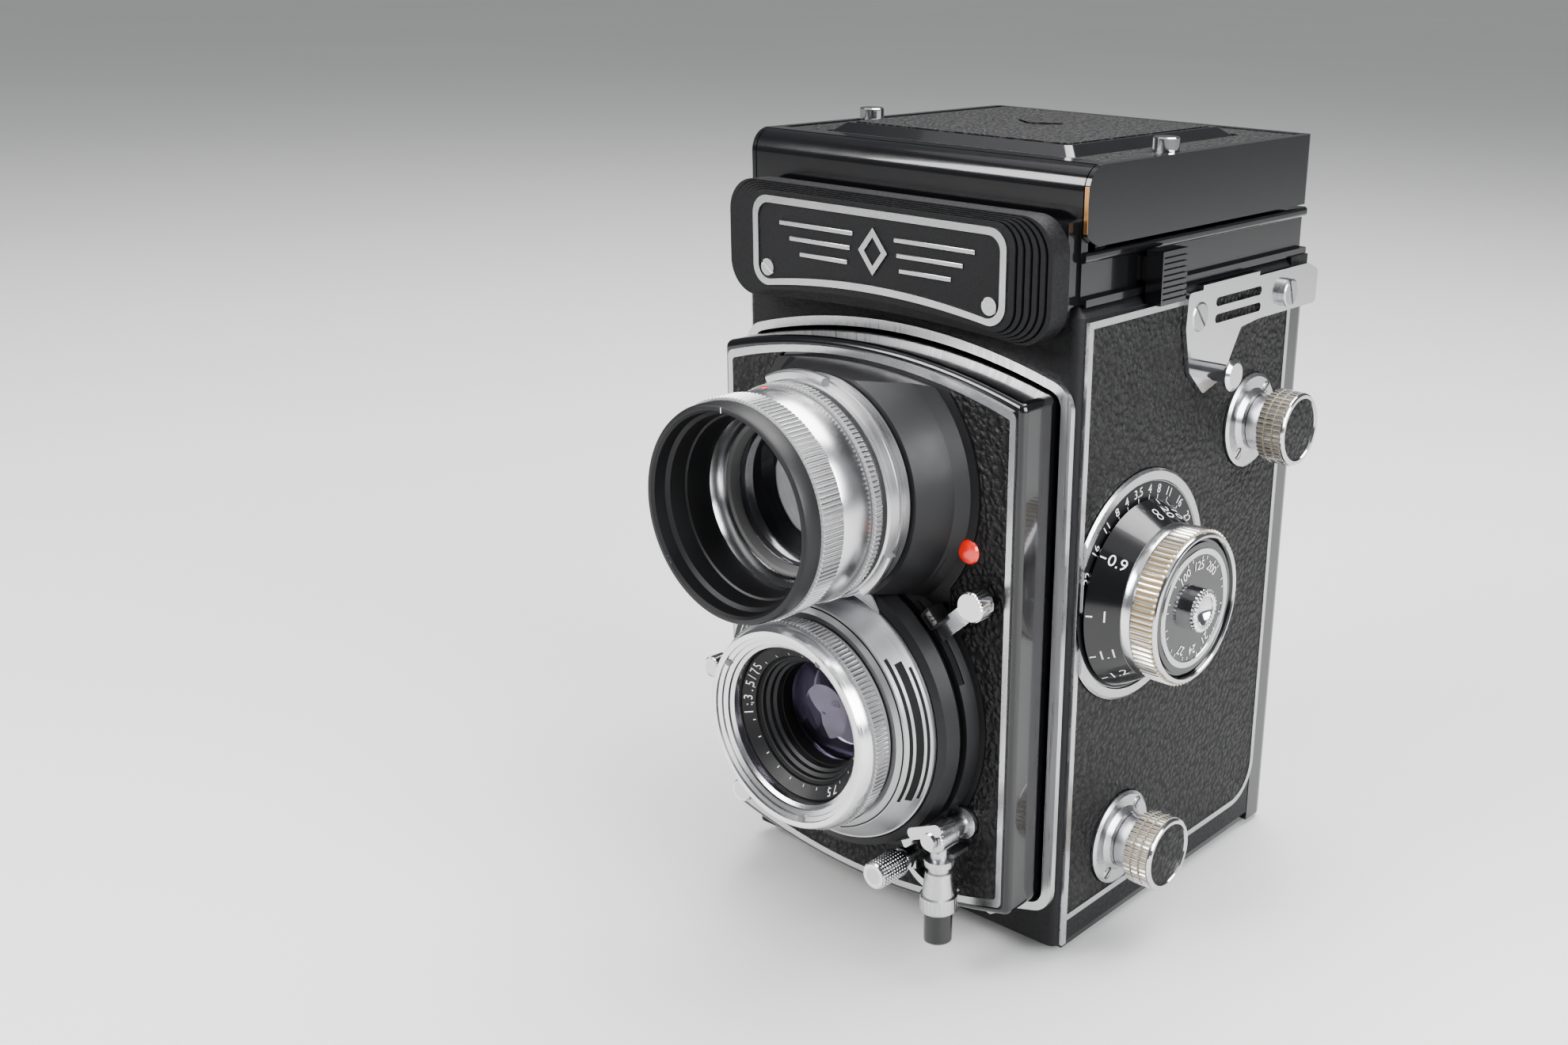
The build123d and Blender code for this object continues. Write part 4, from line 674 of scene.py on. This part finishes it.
def spool_knob(m, name, centre, node):
    """Pull-out spool knob: satin neck, three knurled bands, bright rim and a leather disc."""
    bands = grimy_knurl(f"{name}_metal", "x", centre, 6.84, (0.76, 0.76, 0.76), (0.4, 0.35, 0.27), 0.22)
    neck = turned_metal(f"{name}_neck_metal", "x", centre, (0.66, 0.66, 0.67), 0.3)
    lathe(f"{name}_neck", "x", centre,
          [(1, NECK), (5.2, NECK), (5.2, NECK + 1.5), (5.7, NECK + 2.5), (6.4, NECK + 2.9), (6.4, NECK + 3.1),
           (1, NECK + 3.1)],
          neck, node)
    start = NECK + 3.0
    profile = [(5.6, start), (6.5, start)]
    for _ in range(3):
        profile += [(6.9, start + 0.12, 0.32), (6.9, start + 1.38, 0.32)]
        profile += [(6.45, start + 1.5), (6.45, start + 1.62)]
        start += 1.7
    profile += [(5.6, start - 0.05)]
    piece = lathe(f"{name}_bands", "x", centre, profile, bands, node, teeth=46)
    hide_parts(node)
    face = KNOB_FACE
    lathe(f"{name}_rim", "x", centre,
          [(5.6, start - 0.1), (6.75, start - 0.1), (6.7, face - 0.25), (6.45, face), (5.85, face),
           (5.7, face - 0.4)],
          m["bright"], node)
    lathe(f"{name}_disc", "x", centre,
          [(0, face - 0.8), (5.72, face - 0.8), (5.72, face - 0.3), (5.3, face - 0.12), (0, face - 0.1)],
          m["leather"], node)
    lathe(f"{name}_spindle", "x", centre,
          [(0, SPINDLE_END), (SPINDLE, SPINDLE_END), (SPINDLE, NECK + 0.1), (0, NECK + 0.1)],
          m["steel"], node)


# ---------------------------------------------------------------- left side
def winding_side(m):
    """Knurled winding knob with a leather disc, and the frame counter's numbers and index."""
    x = -SIDE - 1.9
    metal = grimy_knurl("winding_metal", "x", TAKEUP, 13.38, (0.78, 0.78, 0.79), (0.3, 0.25, 0.17), 0.3)
    knob = lathe("winding_wheel", "x", TAKEUP,
                 [(2, x), (11.0, x), (11.0, x - 1.2), (13.0, x - 1.35), (13.4, x - 1.7, 0.4),
                  (13.4, x - 9.4, 0.4), (12.9, x - 9.9), (12.4, x - 10.5), (10.9, x - 10.6),
                  (10.7, x - 10.1), (2, x - 10.1)],
                 metal, "winding_knob", teeth=88)
    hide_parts("winding_knob")
    lathe("winding_disc", "x", TAKEUP,
          [(0, x - 10.0), (10.6, x - 10.0), (10.5, x - 10.35), (10.0, x - 10.5), (0, x - 10.5)],
          m["leather"], "winding_knob")
    lathe("winding_spindle", "x", TAKEUP, [(0, -SPINDLE_END), (SPINDLE, -SPINDLE_END), (SPINDLE, x), (0, x)],
          m["steel"], "winding_knob")
    items = [(str(n), 1.7, dial_x(COUNTER, 5.7, -SIDE - 1.13, 30 * n, side=-1)) for n in range(1, 13)]
    marks("counter_numbers", items, m["white_ink"], "counter_disc")
    index = (None, (0.3, 1.2), dial_x(COUNTER, 8.1, -SIDE - 1.74, 0, side=-1))
    marks("counter_index", [index], m["red"], "body")


# ---------------------------------------------------------------- viewing lens
def attachment(m):
    """Supplementary lens on the viewing lens."""
    # The grooves of these rings are darkened with painted shade through the groove colour.
    knurl = grimy_knurl("attachment_knurl_metal", "y", VIEWING, 18.55, *CLEAN_KNURL_SHADED_GROOVES)
    narrow = grimy_knurl("attachment_narrow_metal", "y", VIEWING, 18.7, *CLEAN_KNURL_SHADED_GROOVES)
    body = "attachment"
    lathe("attachment_narrow_knurl", "y", VIEWING,
          [(15.3, -58.2), (18.2, -58.2), (18.75, -58.6, 0.24), (18.75, -60.1, 0.24), (18.3, -60.5),
           (15.3, -60.5)],
          narrow, body, teeth=FINE_TEETH)
    band = lathe("attachment_band", "y", VIEWING,
                 [(15.3, -60.45), (18.1, -60.45), (18.2, -60.7), (18.2, -66.9), (18.05, -67.2),
                  (15.3, -67.2)],
                 m["band"], body)
    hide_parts("attachment_barrel", "attachment_lens")
    lathe("attachment_wide_knurl", "y", VIEWING,
          [(16.6, -67.2), (18.2, -67.2), (18.6, -67.55, 0.24), (18.6, -71.9, 0.24), (18.15, -72.3),
           (16.6, -72.3)],
          knurl, body, teeth=FINE_TEETH)
    lathe("attachment_mouth", "y", VIEWING,
          [(18.1, -72.25), (18.15, -72.6), (18.15, -74.9), (17.95, -75.4), (17.6, -75.6), (17.1, -75.6),
           (16.7, -75.1), (16.5, -73.0), (15.9, -72.4), (15.6, -69.4), (15.25, -69.2), (15.2, -63.7),
           (16.7, -63.7), (16.7, -72.25)],
          m["satin_black"], body)
    lathe("attachment_retainer", "y", VIEWING,
          [(15.2, -63.7), (15.2, -64.3), (14.8, -64.5), (13.6, -62.7), (13.5, -61.3), (12.9, -61.2),
           (12.9, -58.4), (15.2, -58.4)],
          m["band"], body)
    lathe("attachment_spacer", "y", VIEWING,
          [(13.5, -61.8), (12.9, -61.6), (12.2, -59.8), (12.2, -58.8), (13.5, -58.8)],
          m["tan"], body)
    lathe("attachment_glass", "y", VIEWING,
          [(0, -61.9), (5, -61.7), (9, -61.1), (12.2, -60.2), (12.2, -59.0), (0, -59.4)],
          m["view_glass"], body)
    x, y, z = on_axis("y", VIEWING, 18.22, -61.6, math.radians(104))
    lathe("attachment_dot", "z", (x, y), [(0, z - 0.15), (0.6, z - 0.15), (0.5, z + 0.12), (0, z + 0.16)],
          m["red"], body)
    items = [("0.1", 1.5, dial_y(VIEWING, 17.0, -75.3, 232, 0.9)),
             (None, (0.2, 0.9), dial_y(VIEWING, 17.35, -75.63, 0))]
    marks("attachment_numbers", items, m["white_ink"], body)


def viewing_mount(m):
    """Satin bayonet mount with three outer lugs and the dark tube behind the attachment."""
    satin = turned_metal("bayonet_metal", "y", VIEWING, (0.6, 0.6, 0.61), 0.3)
    ring = lathe("viewing_bayonet_ring", "y", VIEWING,
                 [(15.0, -50.0), (18.9, -52.2), (19.35, -52.6), (19.25, -54.6), (18.85, -54.7),
                  (18.85, -55.0), (19.1, -55.1), (18.95, -57.0), (18.6, -57.35), (17.2, -57.4),
                  (17.2, -58.0), (15.0, -58.0)],
                 satin, "standard")
    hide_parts("viewing_bayonet")
    for number, sweep in enumerate(((78, 116), (-50, -22), (196, 226))):
        lathe(f"viewing_bayonet_lug_{number}", "y", VIEWING,
              [(18.6, -55.1), (20.1, -55.2), (20.3, -55.6), (20.2, -56.8), (19.9, -57.1), (18.6, -57.1)],
              satin, "standard", steps=24, sweep=sweep)
    lathe("viewing_tube", "y", VIEWING,
          [(14.6, -36.5), (15.9, -36.5), (15.9, -52.5), (15.0, -52.5), (14.6, -51.0)],
          m["matt"], "standard")


# ---------------------------------------------------------------- taking lens
def taking_lens(m):
    """Knurled ring, polished funnel with three pins, and the name ring with its baffles."""
    # The grooves of this ring are darkened with painted shade through the groove colour.
    knurl = grimy_knurl("taking_knurl_metal", "y", TAKING, 19.05, *CLEAN_KNURL_SHADED_GROOVES)
    body = "standard"
    ring = lathe("taking_knurl", "y", TAKING,
                 [(15.3, -55.9), (18.4, -55.9), (18.4, -56.7), (18.8, -56.9), (19.1, -57.15, 0.24),
                  (19.1, -60.0, 0.24), (18.6, -60.4), (15.3, -60.4)],
                 knurl, body, teeth=FINE_TEETH)
    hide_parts("taking_ring")
    lathe("taking_funnel", "y", TAKING,
          [(15.0, -59.0), (18.55, -60.3), (18.5, -60.7), (18.1, -62.2), (17.75, -62.65), (17.3, -62.7),
           (16.8, -62.6), (16.7, -62.2), (16.0, -61.95), (15.9, -61.6), (15.1, -61.3), (15.0, -60.9),
           (14.35, -60.5), (14.25, -58.9)],
          m["funnel"], body)
    for number, clock in enumerate((-58, 28, 168)):
        x, _, z = on_axis("y", TAKING, 16.35, 0.0, math.radians(90 - clock))
        lathe(f"taking_pin_{number}", "y", (x, z),
              [(0, -61.8), (0.62, -61.8), (0.62, -62.3), (0.5, -62.45), (0, -62.45)],
              m["tan"], body, steps=24)
    lathe("name_ring", "y", TAKING,
          [(14.2, -58.8), (13.9, -59.0), (11.9, -57.6), (11.8, -57.0), (11.1, -56.6), (11.0, -55.9),
           (10.4, -55.5), (10.3, -54.8), (9.8, -54.4), (9.7, -52.0), (14.2, -52.0)],
          m["satin_black"], body)
    name_ring_numbers(m, body)
    shutter_plate_lines(m, body)
    items = []
    for place, text in enumerate(("3.5", "4", "5.6", "8", "11", "16", "22")):
        items.append((text, 1.3, dial_y(TAKING, 24.9, -50.62, 206 + 8 * place, 0.3)))
    marks("bezel_numbers", items, m["white_ink"], body)


def name_ring_numbers(m, body):
    """Aperture ratio, focal length and fine ticks on the sloping name ring."""
    lean = -math.atan2(1.4, 2.0)
    radius, y, size = 12.9, -58.38, 2.3
    items = ring_text("1:3.5/75", TAKING, radius, y, 262, 6.4, size, lean)
    items += ring_text("75", TAKING, radius, y, 142, 7.4, size, lean)
    for step in range(24):
        items.append((None, (0.14, 0.5), dial_y(TAKING, 12.3, -57.97, step * 15, lean)))
    marks("name_ring_numbers", items, m["white_ink"], body)


def shutter_plate_lines(m, body):
    """Black arcs on both sides of the conical shutter plate, and the thin circle inside them."""
    for number, (inner, width) in enumerate(((21.25, 0.35), (21.95, 0.8), (23.1, 0.3))):
        outer = inner + width
        near = plate_y(inner)
        far = plate_y(outer)
        profile = [(inner, near - 0.05), (outer, far - 0.05), (outer, far + 0.05), (inner, near + 0.05)]
        sweeps = {"right": (-30 + 2 * number, 44 - 4 * number), "left": (136 + 4 * number, 210 - 2 * number)}
        for side, sweep in sweeps.items():
            lathe(f"plate_arc_{side}_{number}", "y", TAKING, profile, m["black_ink"], body,
                  steps=60, sweep=sweep)
    lathe("plate_circle", "y", TAKING, [(20.35, -55.1), (20.55, -54.99), (20.55, -54.8), (20.35, -54.9)],
          m["black_ink"], body)


def plate_y(radius):
    """Place along Y of the conical shutter plate's surface at a radius."""
    return -54.8 + (radius - 20.8) * 4.2 / 3.2


# ---------------------------------------------------------------- panel controls
def reading_windows(m):
    """Two small windows for aperture and shutter speed at the upper right of the shutter."""
    corners = rounded_rectangle(-1.7, 1.7, -1.3, 1.3, 0.35, 4)
    for name, (x, z), text in (("speed", (15.3, 63.4), "500"), ("aperture", (19.2, 66.4), "22")):
        direction = Vector((x, 0, z - TAKING[1])).normalized()
        across = Vector((direction.z, 0, -direction.x))
        base = Vector((x, -46.4, z))
        bezel = [base + across * u + direction * v for u, v in corners]
        inner = [base + across * (u * 0.82) + direction * (v * 0.78) for u, v in corners]
        loop_band(f"{name}_window_frame", [(p.x, p.z) for p in bezel], [(p.x, p.z) for p in inner],
                  -47.1, -43.6, m["satin_black"], "standard")

        def place(u, v, w, base=base, across=across, direction=direction):
            return base + across * u + direction * v + Vector((0, w, 0))

        disc = [(u * 0.84, v * 0.8) for u, v in corners]
        plate_from_path(f"{name}_window_disc", disc, place, 0.3, m["steel"], "standard")
        item = (text, 1.5, frame_matrix(across, direction, base + Vector((0, -0.05, 0))))
        marks(f"{name}_window_number", [item], m["black_ink"], "standard")


def panel_details(m):
    """Red dot, lever knobs, and the cable release and flash contact fittings."""
    body = "standard"
    lathe("red_dot", "y", RED_DOT,
          [(0, -42.5), (2.2, -42.5), (2.2, -43.0), (1.95, -43.35), (1.2, -43.6), (0, -43.7)],
          m["red"], body, steps=48)
    lathe("red_dot_seat", "y", RED_DOT, [(2.1, -42.5), (2.5, -42.5), (2.45, -42.85), (2.2, -42.9)],
          m["matt"], body, steps=48)
    knob_metal = turned_metal("speed_knob_metal", "y", SPEED_KNOB, (0.82, 0.82, 0.83), 0.14)
    spun_knob("speed_knob", SPEED_KNOB, 2.72, -44.6, -47.62, knob_metal, "speed_lever")
    spun_knob("aperture_knob", (-29.8, 45.0), 2.05, -48.2, -51.55, knob_metal, "aperture_lever")
    spun_knob("timer_knob", (-22.6, 21.8), 2.25, -48.2, -51.55, knob_metal, "timer_lever")
    lathe("cocking_sleeve", "y", (14.6, 19.4),
          [(0, -49.3), (2.3, -49.3), (2.56, -49.6, 0.12), (2.56, -55.4, 0.12), (2.25, -55.9), (1.9, -55.95),
           (0, -55.7)],
          diamond_knurl("cocking_knurl_metal"), "cocking_lever", teeth=26)
    collars = (("release_knurl", 14.3, 16.9, 3.32, 26), ("release_collar", 22.85, 23.95, 2.62, 20))
    for name, low, high, radius, teeth in collars:
        lathe(name, "z", RELEASE,
              [(0.5, low), (radius - 0.2, low), (radius, low + 0.2, 0.22), (radius, high - 0.2, 0.22),
               (radius - 0.2, high), (0.5, high)],
              m["bright"], body, teeth=teeth)
    lathe("guard_tube", "z", RELEASE, [(1.25, 7.95), (2.3, 7.95), (2.53, 8.2), (2.53, 13.8), (1.25, 13.8)],
          m["lacquer"], body, steps=48)
    lathe("contact_knurl", "y", (24.3, 28.4),
          [(1.0, -47.3), (2.5, -47.3), (2.73, -47.5, 0.2), (2.73, -51.5, 0.2), (2.4, -51.95), (1.0, -52.0)],
          m["bright"], body, teeth=24)
    lathe("ball_pin", "y", (24.6, 7.6),
          [(0, -32.4), (0.8, -32.4), (0.8, -33.6), (1.25, -33.9), (1.4, -34.5), (1.15, -35.2), (0.6, -35.5),
           (0, -35.6)],
          m["bright"], "body", steps=40)


def diamond_knurl(name):
    """Plated metal with rings along Y, which cross the cut grooves of a sleeve into a diamond knurl."""
    material, tree, principled = shader(name, (0.78, 0.78, 0.79), metallic=1.0, roughness=0.22)
    source = tree.nodes.new("ShaderNodeTexCoord")
    split = tree.nodes.new("ShaderNodeSeparateXYZ")
    tree.links.new(source.outputs["Object"], split.inputs["Vector"])
    rows = combine(tree, "SINE", combine(tree, "MULTIPLY", split.outputs["Y"], 9500.0), 0.0)
    bump(tree, principled, rows, 0.00008, 1.0)
    return material


def spun_knob(name, centre, radius, rear, face, material, body):
    """Small knob with a knurled rim and a face turned to a shallow hollow."""
    profile = [(0, rear), (radius - 0.25, rear), (radius, rear - 0.25, 0.16), (radius, face + 0.35, 0.16),
               (radius - 0.3, face), (radius * 0.5, face + 0.22), (0, face + 0.4)]
    lathe(name, "y", centre, profile, material, body, teeth=26)


# ---------------------------------------------------------------- nameplate, lid and the rest
def nameplate_path(inset):
    """Closed path of the nameplate's frame line, with an arched lower edge."""
    half, high, low, corner = 28.0 - inset, 132.0 - inset, 115.7 + inset, 3.4 - inset * 0.7
    arch, arch_steps, corner_steps = 2.4, 40, 8
    path = []
    for x, z, start in ((half, high, 0), (-half, high, 90)):
        cx = x - corner if x > 0 else x + corner
        for step in range(corner_steps + 1):
            a = math.radians(start + 90 * step / corner_steps)
            path.append((cx + corner * math.cos(a), z - corner + corner * math.sin(a)))
    lower = []
    for step in range(arch_steps + 1):
        x = -half + corner + (2 * half - 2 * corner) * step / arch_steps
        lower.append((x, low + arch * (1 - (x / half) ** 2)))
    for x, start in ((-half, 180), (half, 270)):
        base = lower[0][1] if x < 0 else lower[-1][1]
        cx = x + corner if x < 0 else x - corner
        for step in range(corner_steps + 1):
            a = math.radians(start + 90 * step / corner_steps)
            path.append((cx + corner * math.cos(a), base + corner + corner * math.sin(a)))
        if x < 0:
            path += lower[1:-1]
    return path


def nameplate_trim(m):
    """Frame line and a plain geometric ornament: a lozenge between stepped bars."""
    front = NAMEPLATE_FACE - 0.35
    rear = NAMEPLATE_FACE + 0.1
    loop_band("nameplate_line", nameplate_path(0.0), nameplate_path(1.25), front, rear, m["chrome"], "body")
    for side, side_name in ((-1, "left"), (1, "right")):
        for row, length in enumerate((17.0, 14.0, 11.0)):
            z = 127.6 - 2.5 * row
            near = side * (4.6 + 0.6 * row)
            far = near + side * length
            slab(f"ornament_bar_{side_name}_{row}", (min(near, far), front, z - 0.4),
                 (max(near, far), rear, z + 0.4), m["chrome"], "body", 0.12)
    outer = [(3.2, 125.1), (0, 129.1), (-3.2, 125.1), (0, 121.1)]
    inner = [(1.9, 125.1), (0, 127.5), (-1.9, 125.1), (0, 122.7)]
    loop_band("ornament_lozenge", outer, inner, front, rear, m["chrome"], "body")


def lid_dressing(m):
    """Leather in the lid's recess and on the middle door, and the worn front edge of the skirt."""
    outer = rounded_rectangle(-35.2, 35.2, -23.5, 39.6, 1.2)
    inner = rounded_rectangle(-27.4, 27.4, -22.4, 31.3, 1.2)
    top, under = 141.55, 141.3
    rings = ((outer, top), (inner, top), (inner, under), (outer, under))
    verts = [(x, y, z) for path, z in rings for x, y in path]
    add_mesh("lid_leather", verts, band_faces(len(outer)), m["leather"], "lid")
    plate_from_path("door_leather_top", rounded_rectangle(-23.6, 23.6, -18.6, 26.6, 1.0),
                    lambda u, v, w: (u, v, 143.08 + w), 0.16, m["leather"], "finder_door")
    plate_from_path("door_emboss", [(5.0, 6.0), (0.0, 9.6), (-5.0, 6.0), (0.0, 2.4)],
                    lambda u, v, w: (u, v, 143.2 + w), 0.35, m["leather"], "finder_door")
    slab("lid_worn_edge", (36.15, -31.24, 131.2), (36.95, -31.12, 138.6), m["brass"], "lid", 0.03)


def interior_details(m):
    """Grid on the focusing screen and the thread of the tripod socket."""
    low, high, half_line = 121.28, 121.34, 0.08
    for step in (-1, 0, 1):
        x = step * 14
        y = step * 13 - 1
        slab(f"grid_x_{step + 1}", (x - half_line, -25.5, low), (x + half_line, 23.5, high),
             m["black_ink"], "body")
        slab(f"grid_y_{step + 1}", (-28.0, y - half_line, low), (28.0, y + half_line, high),
             m["black_ink"], "body")
    profile = [(3.6, 0.3)]
    for turn in range(6):
        profile += [(3.17, 0.5 + turn), (2.75, 1.0 + turn), (3.17, 1.5 + turn)]
    profile.append((3.6, 6.5))
    lathe("socket_thread", "z", (0.0, 0.0), profile, m["steel"], "body", steps=64)


# ---------------------------------------------------------------- stage
def area_light(name, place, target, size, power, color=(1, 1, 1)):
    """Rectangular lamp at a place in metres, facing a target."""
    light = bpy.data.lights.new(name, "AREA")
    light.shape = "RECTANGLE"
    light.size, light.size_y = size
    light.energy = power
    light.color = color
    lamp = bpy.data.objects.new(name, light)
    lamp.location = place
    lamp.rotation_euler = (Vector(target) - Vector(place)).to_track_quat("-Z", "Y").to_euler()
    bpy.context.scene.collection.objects.link(lamp)


def studio():
    """Pale floor, a dim even world, a wide soft sky lamp and three area lamps."""
    floor_mesh = bpy.data.meshes.new("floor")
    reach = 30.0
    corners = [(-reach, -reach, 0), (reach, -reach, 0), (reach, reach, 0), (-reach, reach, 0)]
    floor_mesh.from_pydata(corners, [], [(0, 1, 2, 3)])
    floor_mesh.materials.append(floor_paint("floor_paint"))
    floor = bpy.data.objects.new("floor", floor_mesh)
    floor.location.z = -0.0001
    bpy.context.scene.collection.objects.link(floor)
    world = bpy.data.worlds.new("studio")
    world.use_nodes = True
    background = world.node_tree.nodes["Background"]
    background.inputs["Color"].default_value = (0.78, 0.8, 0.83, 1.0)
    background.inputs["Strength"].default_value = 0.22
    bpy.context.scene.world = world
    sky = bpy.data.lights.new("sky", "SUN")
    sky.energy = 0.9
    sky.angle = 1.4
    bpy.context.scene.collection.objects.link(bpy.data.objects.new("sky", sky))
    bpy.context.scene.view_settings.look = "AgX - Medium High Contrast"
    middle = (0.0, 0.0, 0.07)
    area_light("key_right", (0.75, -0.1, 0.42), middle, (0.7, 0.5), 11.0, (0.97, 0.98, 1.0))
    area_light("key_front", (-0.35, -0.75, 0.6), middle, (0.6, 0.45), 11.0)
    area_light("top", (0.0, 0.25, 0.85), middle, (0.8, 0.6), 12.0)


def camera():
    """View from the front right, a little above."""
    azimuth, elevation, roll = (math.radians(a) for a in (38.34, 18.99, 1.26))
    target = Vector((-1.65, -12.57, 67.36)) * MM
    distance = 329.73
    level = math.cos(elevation)
    back = Vector((math.sin(azimuth) * level, -math.cos(azimuth) * level, math.sin(elevation)))
    side = (-back).cross(Vector((0, 0, 1))).normalized()
    up = side.cross(-back)
    right = math.cos(roll) * side + math.sin(roll) * up
    top = -math.sin(roll) * side + math.cos(roll) * up
    matrix = Matrix((right, top, back)).transposed().to_4x4()
    matrix.translation = target + back * distance * MM
    data = bpy.data.cameras.new("view")
    data.sensor_width = 36.0
    data.lens = 39.892
    data.shift_x = -0.1131
    data.shift_y = 0.0093
    data.clip_start = 0.01
    view = bpy.data.objects.new("view", data)
    view.matrix_world = matrix
    bpy.context.scene.collection.objects.link(view)
    bpy.context.scene.camera = view


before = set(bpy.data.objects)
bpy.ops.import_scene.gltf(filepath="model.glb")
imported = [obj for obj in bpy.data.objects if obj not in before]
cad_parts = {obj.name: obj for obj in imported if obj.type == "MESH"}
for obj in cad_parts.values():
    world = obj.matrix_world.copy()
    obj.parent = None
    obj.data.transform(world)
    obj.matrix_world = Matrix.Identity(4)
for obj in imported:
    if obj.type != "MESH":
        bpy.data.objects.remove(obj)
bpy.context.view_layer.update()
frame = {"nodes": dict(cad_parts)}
finishes = make_materials()
paint_frame(frame, finishes)
focusing_knob(finishes)
film_speed_dial(finishes)
depth_of_field_scale(finishes)
spool_knob(finishes, "upper_knob", TAKEUP, "upper_spool_knob")
spool_knob(finishes, "lower_knob", SUPPLY, "lower_spool_knob")
winding_side(finishes)
attachment(finishes)
viewing_mount(finishes)
taking_lens(finishes)
reading_windows(finishes)
panel_details(finishes)
nameplate_trim(finishes)
lid_dressing(finishes)
interior_details(finishes)
studio()
camera()
